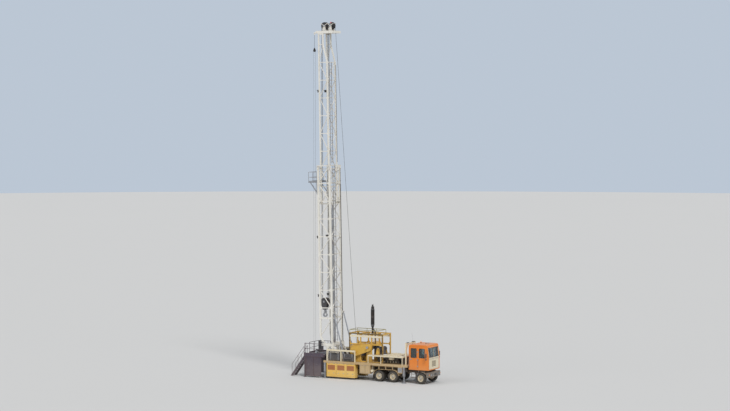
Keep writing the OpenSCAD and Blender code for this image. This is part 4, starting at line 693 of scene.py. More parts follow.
# Leveling jacks and their beams. Four screw-locked jacks carry the rig clear of its springs:
# bright rods in steel tubes, ribbed feet, and dark beams that reach them from the rails.
jack_places, jack_y = (0.0, 8.75), -1.30
flange_z, flange_half, lock_nut_z = 0.70, 0.118, 0.62
dress(bare_steel, "leveling_jacks", edge=0.004)
jacks = Piece("jack_fittings", bare_steel, edge=0.002)
beams = Piece("jack_beams", oily_enamel, edge=0.004)
jack_hoses = Piece("jack_hoses", hose_rubber)
for x in jack_places:
    foot = Vector((x, jack_y, 0))
    (x0, x1), (y0, y1) = both(x, flange_half), both(jack_y, flange_half)
    flange = [(x0, y0, flange_z), (x1, y0, flange_z), (x1, y1, flange_z), (x0, y1, flange_z)]
    jacks.plate(flange, (0, 0, 0.03), [circle((x, jack_y, flange_z), UP, 0.078, 24)])
    jacks.bolts(grid(both(x, 0.106), both(jack_y, 0.106), flange_z + 0.03), UP, 0.009)
    jacks.ring(0.072, 0.105, 0.05, (x, jack_y, lock_nut_z))
    for lug in circle((x, jack_y, lock_nut_z + 0.025), UP, 0.122, 6):
        jacks.box((lug.x - 0.018, lug.y - 0.018, 0.625), (lug.x + 0.018, lug.y + 0.018, 0.665))
    for spoke in circle((0, 0, 0), UP, 1.0, 8, math.pi / 8):
        thick = spoke.cross(Vector(UP)) * 0.006
        profile = ((0.10, 0.04), (0.25, 0.04), (0.25, 0.05), (0.10, 0.11))
        jacks.prism([foot + spoke * r + Vector((0, 0, z)) for r, z in profile], -thick, thick)
    jacks.bolts(circle(foot + Vector((0, 0, 0.12)), UP, 0.09, 8), UP, 0.010)
    beams.front_plate([(-1.195, 1.16), (-1.195, 1.44), (-0.45, 1.29), (-0.45, 1.01)], x - 0.09, x + 0.09)
    for dx in (-0.098, 0.09):
        web = [(-1.195, 1.10), (-1.195, 1.48), (-0.98, 1.42), (-0.98, 1.12)]
        beams.front_plate(web, x + dx, x + dx + 0.008)
    beams.bolts(grid(x + 0.098, (-1.15, -1.04), (1.18, 1.38)), AHEAD, 0.011)
    for dx in (0.03, 0.06):
        jack_hoses.hose([(x + dx, jack_y + 0.10, 1.50), (x + dx + 0.03, jack_y + 0.18, 1.515),
                         (x + dx + 0.08, -0.95, 1.45), (x + 0.16, -0.60, 1.36), (x + 0.18, -0.47, 1.22)],
                        0.011)
mirror(jacks, beams, jack_hoses)
make(jacks, beams, jack_hoses)


# Deck, mudguards and lockers. Tan enamel on folded plate, dusty and walked on, with a tread
# pattern on its top, rivets along its skirt, amber marker lamps and rubber flaps.
tan_enamel = enamel("tan_enamel", "tan_paint", colour(0.46, 0.30, 0.12), colour(0.53, 0.38, 0.19),
                    gloss=0.5, dust=0.6, rust=0.45, chips=0.6, tread=1.2)
dress(tan_enamel, "deck_plates", "side_lockers", edge=0.004)
deck_z, deck_y = 1.75, -1.40
deck_x0, deck_x1 = -0.15, 9.15


def lens_glass(name, tint):
    """Moulded glass or plastic of one colour, with fine ribs and a film of dust."""
    material, place, normal = start_material(name, "window_glass")
    ribs = place.math("SINE", part_of(place, "Z") * 900.0)
    film = ramp(noise(place, 30.0, 4.0), 0.45, 0.8)
    base = mix(film * 0.25, tint, colour(0.5, 0.44, 0.34))
    end_material(place, base, film * 0.25 + 0.08, ribs * 0.5 + film, 0.0008, {"Coat Weight": 0.6})
    return material


def marker_lamp(lenses, mounts, place, direction, radius=0.032):
    """A small round lamp: a domed lens in a steel ring."""
    dome = [(0.92 * radius, 0.55 * radius), (0.6 * radius, 0.85 * radius), (0.001, 0.95 * radius)]
    lenses.lathe([(0.001, 0.004), (radius, 0.004), *dome], place, direction, 20)
    mount = [(radius + 0.012, 0), (radius + 0.010, 0.012), (radius, 0.016), (radius, 0.004)]
    mounts.turned(mount, place, direction, 20, core=0.001)


amber_lamps = Piece("amber_lamps", lens_glass("amber_lens", colour(0.80, 0.24, 0.015)))
red_lamps = Piece("red_lamps", lens_glass("red_lens", colour(0.50, 0.015, 0.010)))
lamp_rings = Piece("lamp_rings", bare_steel, edge=0.0015)
deck_trim = Piece("deck_trim", bare_steel, edge=0.001)
flaps = Piece("mud_flaps", rubber)
skirt_bolts = [(x, deck_y, deck_z - 0.085) for x in steps(deck_x0 + 0.1, deck_x1 - 0.1, 37)]
deck_trim.bolts(skirt_bolts, NEAR, 0.011, 0.006)
for x in steps(deck_x0 + 0.75, deck_x1 - 0.75, 6):
    marker_lamp(amber_lamps, lamp_rings, (x, deck_y, deck_z - 0.145), NEAR)
for x in steps(deck_x0 + 1.5, deck_x1 - 1.5, 5):
    deck_trim.loop(circle((x, deck_y - 0.012, deck_z - 0.215), FAR, 0.036, 14), 0.006)
    deck_trim.box((x - 0.03, deck_y - 0.02, deck_z - 0.19), (x + 0.03, deck_y, deck_z - 0.165))
guard_x0, guard_z0 = axles[0] - 0.645, axle_z + 0.12
flaps.box((guard_x0 - 0.012, -1.37, 0.24), (guard_x0 - 0.002, -0.74, guard_z0 + 0.06))
deck_trim.box((guard_x0 - 0.018, -1.38, guard_z0), (guard_x0 - 0.012, -0.73, guard_z0 + 0.05))
deck_trim.bolts([(guard_x0 - 0.018, y, guard_z0 + 0.025) for y in steps(-1.34, -0.77, 5)], (-1, 0, 0), 0.009)
locker_x0, locker_x1 = ends("side_lockers")[0].x, 5.05
locker_hinge_z, locker_handle_z = 1.505, 0.86
for k in range(2):
    x0 = locker_x0 + k * (locker_x1 - locker_x0) / 2
    x1 = x0 + (locker_x1 - locker_x0) / 2
    x_mid = (x0 + x1) / 2
    for x in (x0 + 0.13, x1 - 0.13):
        deck_trim.pin((x, deck_y - 0.002, locker_hinge_z), AHEAD, 0.04, 0.010, 10)
    boss = [(0.034, 0), (0.034, 0.008), (0.014, 0.014)]
    deck_trim.turned(boss, (x_mid, deck_y + 0.012, locker_handle_z), NEAR, 20)
    deck_trim.pin((x_mid, deck_y - 0.010, locker_handle_z), AHEAD, 0.035, 0.007, 8)
    flaps.loop(upright(rounded(x0 + 0.055, 0.755, x1 - 0.055, 1.495, 0.03), deck_y + 0.004), 0.005)
deck_trim.box((8.12, -1.398, 1.02), (8.56, -1.388, 1.48))
deck_trim.bolts(grid((8.15, 8.53), -1.398, (1.05, 1.45)), NEAR, 0.010)
mirror(deck_trim, flaps)
make(deck_trim, flaps)


# Front bumper. Dark folded plate with two recessed headlamps, amber indicators, a slotted
# recess with guide rollers, two tow hooks and a strip of tread plate on top.
bumper_x = 11.50
bumper_lamp_y, bumper_lamp_z = 0.87, 0.925
tow_hook_y = 0.50
dress(oily_enamel, "front_bumper", edge=0.01)


def clear_glass(name, tint, transmission, ribs=0.0):
    """Glass with a film of dust in patches, and ribs where it is a lamp's."""
    material, place, normal = start_material(name, "window_glass")
    smears = noise(place, 3.0, 5.0)
    film = ramp(smears, 0.35, 0.8)
    relief = smears * 0.3 + (place.math("SINE", part_of(place, "Y") * 500.0) * ribs if ribs else smears * 0.1)
    base = mix(film * 0.18, tint, colour(0.55, 0.52, 0.45))
    constants = {"Transmission Weight": transmission, "IOR": 1.45}
    end_material(place, base, film * 0.10 + 0.02, relief, 0.0004, constants)
    return material


lamp_glass = clear_glass("lamp_glass", colour(0.90, 0.92, 0.93), 0.9, ribs=0.6)
bowls = Piece("headlamp_bowls", bare_steel)
lamp_lenses = Piece("headlamp_lenses", lamp_glass)
bumper_iron = Piece("bumper_fittings", bare_steel, edge=0.001)
bowl = [(0.002, 0.000), (0.045, 0.004), (0.078, 0.020), (0.090, 0.044), (0.086, 0.044), (0.074, 0.024),
        (0.042, 0.009), (0.002, 0.005)]
bulb = [(0.002, 0.006), (0.018, 0.006), (0.014, 0.034), (0.002, 0.038)]
bezel = [(0.088, 0.044), (0.088, 0.060), (0.098, 0.068), (0.112, 0.064), (0.114, 0.055), (0.096, 0.055),
         (0.094, 0.044)]
lens = [(0.002, 0.050), (0.086, 0.044), (0.088, 0.050), (0.050, 0.060), (0.002, 0.063)]
tow_hook = ((0.008, -0.03, 0.87), (0.055, -0.03, 0.85), (0.060, 0, 0.80), (0.055, 0.03, 0.85),
            (0.008, 0.03, 0.87))
for side in (-1, 1):
    centre = Vector((bumper_x - 0.055, side * bumper_lamp_y, bumper_lamp_z))
    bowls.lathe(bowl, centre, AHEAD, 36)
    bowls.lathe(bulb, centre, AHEAD, 16)
    bowls.lathe(bezel, centre, AHEAD, 36)
    lamp_lenses.lathe(lens, centre, AHEAD, 36)
    bumper_iron.bolts(circle(centre + Vector((0.062, 0, 0)), AHEAD, 0.105, 4, 0.4), AHEAD, 0.006, 0.006)
    hook_y = side * tow_hook_y
    bumper_iron.box((bumper_x, hook_y - 0.05, 0.76), (bumper_x + 0.012, hook_y + 0.05, 0.90))
    bumper_iron.hose([(bumper_x + dx, hook_y + dy, z) for dx, dy, z in tow_hook], 0.012)
    bumper_iron.bolts(grid(bumper_x + 0.012, both(hook_y, 0.035), (0.775, 0.885)), AHEAD, 0.009)
marker_lamp(amber_lamps, lamp_rings, (11.435, -1.18, bumper_lamp_z), (0.879, -0.476, 0), 0.048)
for z in (0.862, 0.925, 0.988):
    bumper_iron.box((bumper_x - 0.088, -0.35, z - 0.006), (bumper_x - 0.045, 0.35, z + 0.006))
for y in (-0.30, 0.30):
    bumper_iron.rod((bumper_x - 0.03, y, 0.835), (bumper_x - 0.03, y, 1.015), 0.022, 16)
make(bowls, lamp_lenses, bumper_iron)


# Cab. Satin orange enamel over a flat-fronted shell, with a cream front panel whose paleness is
# partly its paint and partly a painted highlight for the sunlit front face, smoked glass in
# black rubber seals, steel grab rails, mirrors, wipers and a beacon, and seats behind the glass.
orange_enamel = enamel("orange_enamel", "cab_orange", colour(0.74, 0.19, 0.016), colour(0.78, 0.25, 0.035),
                       gloss=0.30, dust=0.28, rust=0.2, chips=0.4)
dress(orange_enamel, "cab_body", edge=0.012)
# The front panel's cream is partly its paint and partly a painted highlight for the sun on the front face.
dress(cream_enamel, "cab_front", edge=0.008)
dress(clear_glass("window_glass", colour(0.36, 0.44, 0.46), 0.93), "cab_glass")
cab_x0, cab_x1 = ends("cab_body")[0].x, ends("cab_body")[1].x
cab_y = ends("cab_body")[0].y
cab_z0, cab_z1, belt_z = 1.35, 3.80, 2.526
door = (9.31, 1.44, 10.16, 3.56)
door_glass, quarter_glass = (9.42, belt_z, 10.05, 3.45), (10.31, belt_z, 10.93, 3.45)
screen_z0, screen_z1 = belt_z + 0.06, 3.50
step_x0, step_x1 = 9.35, 9.85
seals = Piece("window_seals", hose_rubber)
cab_iron = Piece("cab_fittings", bare_steel, edge=0.0015)
visor = Piece("cab_visor", orange_enamel, edge=0.003)
cab_dark = Piece("cab_dark_parts", oily_enamel, edge=0.0015)
cab_inside = Piece("cab_inside", hose_rubber, edge=0.02, slot="dark_paint")


def face_x(z):
    """How far forward the cab's front panel stands at a height: it leans back above the belt line."""
    return cab_x1 - 0.012 - max(0.0, z - belt_z) * 0.15 / 1.104


for x0, z0, x1, z1 in (door_glass, quarter_glass):
    seals.loop(upright(rounded(x0, z0, x1, z1, 0.07, 6), cab_y + 0.006), 0.013, 8)
seals.loop(upright(rounded(*door, 0.06, 6), cab_y + 0.006), 0.004)
pane = [(0.045, screen_z0), (0.9997, screen_z0), (0.9997, screen_z1), (0.045, screen_z1)]
seals.loop([(face_x(z), -y, z) for y, z in pane], 0.014, 8)
mirror(seals)
sill_x = face_x(screen_z0) - 0.055
seals.box((sill_x, -1.02, screen_z0 - 0.03), (sill_x + 0.008, 1.02, screen_z0 - 0.005))
seals.make()

# The door's hinges, its handle and lock, and the grab rails beside it.
hinge_x, handle_z = door[2], 2.385
for z in (1.72, 2.34, 3.12):
    cab_iron.pin((hinge_x + 0.006, cab_y - 0.010, z), UP, 0.06, 0.013, 12)
    cab_iron.box((hinge_x - 0.07, cab_y - 0.008, z - 0.045), (hinge_x + 0.07, cab_y, z + 0.045))
    cab_iron.bolts(grid(both(hinge_x, 0.05), cab_y - 0.008, both(z, 0.028)), NEAR, 0.007, 0.005)
cab_iron.box((9.36, cab_y - 0.006, 2.34), (9.53, cab_y, 2.42))
cab_iron.rod((9.375, cab_y - 0.026, handle_z), (9.52, cab_y - 0.026, handle_z), 0.010, 10)
for x in (9.38, 9.51):
    cab_iron.rod((x, cab_y, handle_z), (x, cab_y - 0.026, handle_z), 0.008, 8)
cab_iron.turned([(0.014, 0), (0.012, 0.006)], (9.445, cab_y - 0.006, 2.355), NEAR, 16)
for x, low, high in ((9.255, 1.56, 2.90), (10.235, 1.56, 2.45)):
    grab = ((0, low), (0.055, low + 0.03), (0.06, low + 0.10))
    grab += ((0.06, high - 0.10), (0.055, high - 0.03), (0, high))
    cab_iron.hose([(x, cab_y - out, z) for out, z in grab], 0.014, 10)

# The mirrors on their arms, the wipers and the rail under the screen.
arm_x, arm_y = 11.20, cab_y - 0.27
cab_iron.hose([(11.08, cab_y, 3.18), (arm_x, arm_y + 0.06, 3.20), (arm_x, arm_y, 3.12),
               (arm_x, arm_y, 2.50), (arm_x, arm_y + 0.06, 2.42), (11.20, cab_y, 2.44)], 0.011)
cab_iron.rod((arm_x, arm_y + 0.06, 3.20), (11.0, cab_y, 3.42), 0.007, 8)
cab_dark.front_plate(rounded(arm_y - 0.085, 2.58, arm_y + 0.085, 3.02, 0.03), arm_x - 0.035, arm_x + 0.03)
cab_iron.front_plate(rounded(arm_y - 0.075, 2.595, arm_y + 0.075, 3.005, 0.025), arm_x - 0.038, arm_x - 0.034)
cab_dark.front_plate(rounded(arm_y - 0.07, 2.36, arm_y + 0.07, 2.52, 0.03), arm_x - 0.03, arm_x + 0.02)
pivot_z, tip_z, rail_z = screen_z0 - 0.045, 3.02, 2.46
cab_iron.rod((face_x(pivot_z), -0.30, pivot_z), (face_x(pivot_z) + 0.03, -0.30, pivot_z), 0.016, 12)
cab_iron.bar((face_x(pivot_z) + 0.026, -0.30, pivot_z), (face_x(tip_z) + 0.030, -0.66, tip_z), 0.012, 0.006)
cab_dark.bar((face_x(2.74) + 0.014, -0.60, 2.72), (face_x(3.34) + 0.014, -0.71, 3.34), 0.008, 0.022)
rail = [(cab_x1 + 0.045, y) for y in (-1.0, -0.88, -0.22, -0.10)]
rail = [(face_x(rail_z), -1.0), *rail, (face_x(rail_z), -0.10)]
cab_iron.hose([(x, y, rail_z) for x, y in rail], 0.012, 8)
visor.hose([(9.30, cab_y - 0.004, 3.60), (9.40, cab_y - 0.006, 3.645), (10.2, cab_y - 0.006, 3.655),
            (11.0, cab_y - 0.006, 3.645), (11.12, cab_y - 0.004, 3.60)], 0.011)

# Lamps, the steps' treads and the mudguards of the front wheels.
roof_lamp_x, roof_lamp_z, roof_slope = 11.145, 3.755, (0.75, 0, 0.66)
marker_lamp(amber_lamps, lamp_rings, (cab_x1, -1.135, 1.78), AHEAD, 0.045)
marker_lamp(red_lamps, lamp_rings, (cab_x0, -1.08, 1.62), (-1, 0, 0), 0.045)
for y in (-0.92, -0.30):
    marker_lamp(amber_lamps, lamp_rings, (roof_lamp_x, y, roof_lamp_z), roof_slope, 0.030)
for z in (0.59, 0.93):
    for x in steps(step_x0 + 0.03, step_x1 - 0.03, 12):
        cab_iron.box((x - 0.004, -1.135, z), (x + 0.004, -0.885, z + 0.010))
arch = arc((axles[2], axle_z), 0.645, 38, 150, 22) + arc((axles[2], axle_z), 0.632, 150, 38, 22)
cab_dark.side_plate(arch, -1.37, -1.03)
for x in (axles[2] - 0.3, axles[2] + 0.3):
    cab_dark.box((x - 0.02, -1.22, axle_z + 0.56), (x + 0.02, -1.18, cab_z0 + 0.002))
mirror(cab_iron, visor, cab_dark, amber_lamps, red_lamps, lamp_rings)
marker_lamp(amber_lamps, lamp_rings, (roof_lamp_x, 0, roof_lamp_z), roof_slope, 0.030)
visor.side_plate([(11.10, 3.668), (11.36, 3.560), (11.36, 3.548), (11.10, 3.640)], -1.06, 1.06)
for y in (-1.0, 1.0):
    cab_iron.rod((11.34, y, 3.552), (face_x(3.44) + 0.004, y, 3.44), 0.007, 8)
visor.make()

# The beacon, the horn and the aerial on the roof, and the grille in the front panel.
beacon = Vector((9.62, 0.60, cab_z1))
cab_dark.turned([(0.085, 0), (0.080, 0.035), (0.060, 0.045)], beacon, UP, 28)
beacon_lens = [(0.002, 0.045), (0.058, 0.045), (0.056, 0.12), (0.040, 0.155), (0.002, 0.165)]
amber_lamps.lathe(beacon_lens, beacon, UP, 28)
horn = [(0.012, 0), (0.020, 0), (0.024, 0.18), (0.060, 0.34), (0.055, 0.34), (0.018, 0.18)]
cab_iron.lathe(horn, (10.30, 0.28, cab_z1 + 0.07), AHEAD, 24)
cab_dark.box((10.28, 0.24, cab_z1 - 0.002), (10.36, 0.32, cab_z1 + 0.06))
aerial = Vector((9.42, -0.85, cab_z1))
cab_dark.rod(aerial, aerial + Vector((0, 0, 0.06)), 0.02, 12)
cab_dark.hose([aerial + Vector(way) for way in ((0, 0, 0.05), (0, 0, 0.6), (-0.04, 0, 1.1))], 0.004, 6)
cab_dark.box((cab_x1 - 0.094, -0.47, 1.62), (cab_x1 - 0.084, 0.47, 2.36))
for y in steps(-0.46, 0.46, 47):
    cab_dark.box((cab_x1 - 0.084, y - 0.002, 1.62), (cab_x1 - 0.074, y + 0.002, 2.36))
make(cab_iron, cab_dark, lamp_rings, amber_lamps, red_lamps)

# Seats, the dashboard and the steering wheel.
floor_top = cab_z0 + 0.06
for y in (-0.55, 0.55):
    cab_inside.box((9.75, y - 0.26, floor_top + 0.35), (10.25, y + 0.26, floor_top + 0.50))
    seat_back = [(9.78, 0.48), (9.92, 0.48), (9.80, 1.10), (9.68, 1.10)]
    cab_inside.side_plate([(x, floor_top + z) for x, z in seat_back], y - 0.25, y + 0.25)
    cab_inside.box((9.68, y - 0.13, floor_top + 1.13), (9.78, y + 0.13, floor_top + 1.32))
    cab_inside.box((9.85, y - 0.18, floor_top), (10.15, y + 0.18, floor_top + 0.34))
dashboard = [(11.25, 2.05), (11.25, 2.46), (11.10, 2.52), (10.92, 2.44), (10.88, 2.30), (11.05, 2.05)]
cab_inside.side_plate(dashboard, -1.08, 1.08)
steering_wheel, column = (10.72, 0.55, 2.52), (-0.5, 0, 0.87)
grip = [(0.205 + 0.013 * math.cos(a), 0.013 * math.sin(a)) for a in steps(0, 1.75 * math.pi, 8)]
cab_inside.lathe(grip, steering_wheel, column, 36)
cab_inside.rod(steering_wheel, (10.95, 0.55, 2.20), 0.022, 12)
for spoke in circle(steering_wheel, column, 0.20, 3):
    cab_inside.rod(steering_wheel, spoke, 0.011, 8)
cab_inside.make()


# Mast base. Cream-white beams under the mast's feet, with pinned feet, gussets and bolted
# plates, and a bank of hydraulic valves whose hoses run down to the deck.
mast_enamel = enamel("mast_enamel", "mast_paint", colour(0.72, 0.69, 0.61), colour(0.80, 0.78, 0.72),
                     gloss=0.48, dust=0.35, rust=0.4, chips=0.5)
dress(mast_enamel, "mast_base", edge=0.006)
dress(bare_steel, "raising_rams", edge=0.002)
foot_z, base_y = 3.40, -1.12
valve_y = base_y + 0.08
base_plates = Piece("base_plates", mast_enamel, edge=0.002)
base_iron = Piece("base_pins", bare_steel, edge=0.0015)
base_valves = Piece("base_valves", oily_enamel, edge=0.003)
base_hoses = Piece("base_hoses", hose_rubber)
for x0, way in ((0.04, -1), (0.24, 1), (0.645, -1)):
    gusset = [(x0, 3.16), (x0 + way * 0.20, 3.16), (x0 + way * 0.03, 2.92), (x0, 2.92)]
    for y in (base_y + 0.02, -0.94):
        base_plates.side_plate(gusset, y, y + 0.012)
for x in (0.14, 0.745):
    base_plates.box((x - 0.15, base_y - 0.05, deck_z), (x + 0.15, -0.87, deck_z + 0.020))
    base_iron.bolts(grid(both(x, 0.125), (base_y - 0.025, -0.895), deck_z + 0.02), UP, 0.018, 0.018)
base_iron.bolts(grid((1.475, 1.665), (-1.09, -0.95), deck_z + 0.04), UP, 0.016, 0.016)
for x in (-0.325, 0.645):
    cheek = [(x - 0.14, foot_z), (x + 0.14, foot_z), (x + 0.10, foot_z + 0.20), (x - 0.10, foot_z + 0.20)]
    for y in (base_y - 0.006, -0.938):
        base_plates.side_plate(cheek, y, y + 0.018)
    base_iron.rod((x, base_y - 0.045, foot_z + 0.11), (x, -0.885, foot_z + 0.11), 0.045, 24)
    base_iron.turned([(0.062, 0), (0.062, 0.016)], (x, base_y - 0.045, foot_z + 0.11), NEAR, 24)
base_valves.box((0.30, base_y + 0.02, 2.20), (0.58, base_y + 0.14, 2.34))
for k, x in enumerate(steps(0.335, 0.545, 5)):
    spread = k - 2
    base_valves.rod((x, valve_y, 2.33), (x, valve_y, 2.40), 0.016, 10)
    base_valves.rod((x, valve_y, 2.40), (x, valve_y - 0.03 * math.cos(k), 2.53), 0.006, 8)
    base_hoses.hose([(x, valve_y, 2.21), (x + 0.01, base_y + 0.09, 2.08),
                     (x + 0.02 * spread, base_y + 0.14, 1.92),
                     (x + 0.03 * spread, base_y + 0.20, deck_z)], 0.011)
for dy in (-0.02, 0.02):
    base_hoses.hose([(0.60, base_y + 0.10, 2.27 + dy), (0.90, base_y + 0.12, 2.05 + dy),
                     (1.30, -1.05 + dy, 1.86), (1.75, -1.08 + dy, 1.84), (1.93, -1.06 + dy, 2.02),
                     (1.90, -1.05 + dy, 2.20)], 0.012)
mirror(base_plates, base_iron, base_valves, base_hoses)
make(base_plates, base_iron, base_valves, base_hoses)


# Side boxes. Bright yellow cupboards with three doors a side. Each door has a rust-brown louvre
# panel near its top, as the photograph's dark band, a rubber seal, hinges and a T-handle.
box_enamel = enamel("box_enamel", "machine_yellow", colour(0.78, 0.46, 0.075), colour(0.84, 0.57, 0.16),
                    gloss=0.36, dust=0.28, rust=0.3, chips=0.6)
yellow_enamel = enamel("yellow_enamel", "machine_yellow",
                       colour(0.63, 0.365, 0.048), colour(0.67, 0.43, 0.105),
                       gloss=0.38, dust=0.36, rust=0.4, chips=0.6, soot=0.25)
brown_enamel = enamel("brown_enamel", "cab_orange", colour(0.40, 0.115, 0.016), colour(0.46, 0.16, 0.032),
                      gloss=0.45, dust=0.35, rust=0.5, chips=0.4)
dress(box_enamel, "side_boxes", edge=0.006)
box_x0, box_x1 = ends("side_boxes")[0].x, ends("side_boxes")[1].x
door_len = (box_x1 - box_x0) / 3
door_y = deck_y + 0.012
box_hinge_z, box_handle_z = 1.500, 0.56
louvres = Piece("box_louvres", brown_enamel, edge=0.001)
box_seals = Piece("box_seals", hose_rubber)
box_iron = Piece("box_handles", bare_steel)
box_skids = Piece("box_skids", oily_enamel, edge=0.004)
for k in range(3):
    x0, x1 = box_x0 + k * door_len + 0.06, box_x0 + (k + 1) * door_len - 0.06
    box_seals.loop(upright(rounded(x0 + 0.004, 0.324, x1 - 0.004, 1.486, 0.04), door_y - 0.001), 0.006)
    louvres.side_plate(rounded(x0 + 0.07, 0.86, x1 - 0.07, 1.36, 0.02), door_y - 0.004, door_y + 0.002)
    for z in steps(0.90, 1.30, 11):
        slat = [(-0.003, 0.026), (-0.017, 0.004), (-0.017, 0), (-0.003, 0.002)]
        louvres.front_plate([(door_y + dy, z + dz) for dy, dz in slat], x0 + 0.10, x1 - 0.10)
    for x in (x0 + 0.18, x1 - 0.18):
        box_iron.pin((x, deck_y - 0.004, box_hinge_z), AHEAD, 0.06, 0.011, 10)
        box_iron.box((x - 0.05, deck_y - 0.003, 1.502), (x + 0.05, deck_y, 1.535))
    for x in (x0 + 0.20, x1 - 0.20):
        boss = [(0.048, 0), (0.048, 0.006), (0.020, 0.012), (0.016, 0.020)]
        box_iron.turned(boss, (x, door_y, box_handle_z), NEAR, 24)
        box_iron.pin((x, door_y - 0.026, box_handle_z), AHEAD, 0.055, 0.009, 10)
box_iron.box((box_x0, deck_y - 0.012, 1.538), (box_x1, deck_y, 1.546))
box_skids.box((box_x0 + 0.03, deck_y + 0.03, 0.14), (box_x1 - 0.03, deck_y + 0.12, 0.20))
box_skids.box((box_x0 + 0.03, -0.92, 0.14), (box_x1 - 0.03, -0.83, 0.20))
mirror(louvres, box_seals, box_iron, box_skids)
make(louvres, box_seals, box_iron, box_skids)


# Bays. Cream posts and a rail frame the hydraulic tanks behind them. A valve bank, a row of
# gauges, straps, caps and hoses fill the spaces, all of it oily. The dark equipment behind the
# posts is partly real machinery and partly a dark mass that stands in for the shade in the bays.
dress(cream_enamel, "bay_frames", "chassis_tanks", edge=0.005)
# The bay equipment's dark enamel is partly its own paint and partly painted shade for the inside of the open
# bays.
dress(oily_enamel, "bay_equipment", edge=0.006)
bay_dark = Piece("bay_valves", oily_enamel, edge=0.002)
bay_dials = Piece("gauge_faces", cream_enamel)
bay_iron = Piece("bay_fittings", bare_steel)
bay_hoses = Piece("bay_hoses", hose_rubber)
tank_y0, tank_y1, tank_z0, tank_z1 = -1.28, -1.14, 1.81, 2.51
gauge_y, gauge_z, lever_y = -1.385, 2.64, -1.34
for x0, x1 in ((0.41, 1.635), (1.965, 3.19)):
    band = rounded(tank_y0 - 0.004, tank_z0 - 0.004, tank_y1 + 0.004, tank_z1 + 0.004, 0.047, 4)
    for x in (x0 + 0.18, x1 - 0.22):
        bay_iron.front_plate(band, x, x + 0.04)
    cap_place = ((x0 + x1) / 2, (tank_y0 + tank_y1) / 2, tank_z1)
    bay_iron.turned([(0.058, 0.06), (0.058, 0.085), (0.035, 0.095)], cap_place, UP, 24)
    bay_iron.rod((x1 - 0.10, tank_y0 - 0.012, 1.95), (x1 - 0.10, tank_y0 - 0.012, 2.35), 0.008, 10)
    for z in (1.95, 2.35):
        bay_iron.rod((x1 - 0.10, tank_y0 + 0.01, z), (x1 - 0.10, tank_y0 - 0.026, z), 0.016, 10)
bay_dark.box((0.62, gauge_y, 2.555), (1.42, -1.365, 2.725))
for x in steps(0.70, 1.34, 5):
    bay_iron.lathe([(0.050, 0), (0.062, 0), (0.062, 0.020), (0.050, 0.024)], (x, gauge_y, gauge_z), NEAR, 28)
    bay_dials.turned([(0.051, 0), (0.051, 0.012)], (x, gauge_y, gauge_z), NEAR, 28)
    bay_dark.bar((x - 0.008, -1.3985, 2.632), (x + 0.030, -1.3985, 2.666), 0.005, 0.002)
    bay_hoses.hose([(x, -1.365, 2.62), (x, -1.335, 2.57), (x + 0.02, -1.31, 2.40), (x + 0.01, -1.30, 2.0),
                    (x, -1.30, deck_z)], 0.006, 6)
bay_dark.box((2.06, -1.375, 2.02), (2.98, -1.305, 2.15))
for x in (2.10, 2.88):
    bay_dark.box((x, -1.365, deck_z), (x + 0.06, -1.315, 2.03))
knob = [(0.001, -0.017), (0.012, -0.012), (0.017, 0), (0.012, 0.012), (0.001, 0.017)]
for k, x in enumerate(steps(2.12, 2.92, 8)):
    bay_dark.rod((x, lever_y, 2.14), (x, lever_y, 2.19), 0.020, 12)
    tip = (x + 0.015 * (k % 3 - 1), lever_y - 0.012, 2.37)
    bay_iron.rod((x, lever_y, 2.18), tip, 0.006, 8)
    bay_dark.lathe(knob, tip, UP, 14)
    bay_hoses.hose([(x, lever_y, 2.03), (x, -1.345, 1.95), (x + 0.02 * (k % 2), -1.33, 1.85),
                    (x + 0.03 * (k % 3 - 1), -1.31, deck_z)], 0.010)
for x in (0.245, 1.80, 3.355):
    bay_iron.bolts(grid(both(x, 0.022), -1.40, (2.78, 2.86)), NEAR, 0.009)
mirror(bay_dark, bay_dials, bay_iron, bay_hoses)
make(bay_dark, bay_dials, bay_iron, bay_hoses)


# Drawworks. A yellow frame on the deck holds two drums behind curved guards, with brake bands,
# a chain case and catheads. Rope lies on the main drum, and the bare drum is grooved steel.
olive_enamel = enamel("olive_enamel", "olive_paint", colour(0.27, 0.25, 0.09), colour(0.34, 0.32, 0.15),
                      gloss=0.45)
dress(yellow_enamel, "drawworks_frame", "chain_case", "drum_guards", edge=0.005)
dress(bare_steel, "drawworks_drum")
dress(olive_enamel, "hoist_rail")
drum, drum_core = Vector((3.15, 0, 2.80)), 0.31
second, second_core = Vector((4.65, 0, 3.25)), 0.19
hoist_y, hoist_post = -0.88, 0.11
hoist_posts = steps(2.45, 6.09, 4)
rope_r = 0.014
case_y, case_rim_y, far_bearing_y = -1.0995, -1.000, 0.83
hoist_plates = Piece("hoist_plates", yellow_enamel, edge=0.0015)
hoist_iron = Piece("hoist_fittings", bare_steel, edge=0.001)
hoist_dark = Piece("hoist_brakes", oily_enamel, edge=0.003)
hoist_hoses = Piece("hoist_hoses", hose_rubber)


def wraps(centre, radius, y0, y1, pitch, end_angle, per_turn=40):
    """Points of a rope wound about a shaft across the carrier, which ends at an angle."""
    turns = (y1 - y0) / pitch
    count = int(turns * per_turn)
    points = []
    for i in range(count + 1):
        angle = end_angle + 2 * math.pi * turns * (1 - i / count)
        along = y0 + (y1 - y0) * i / count
        points.append(centre + Vector((radius * math.cos(angle), along, radius * math.sin(angle))))
    return points


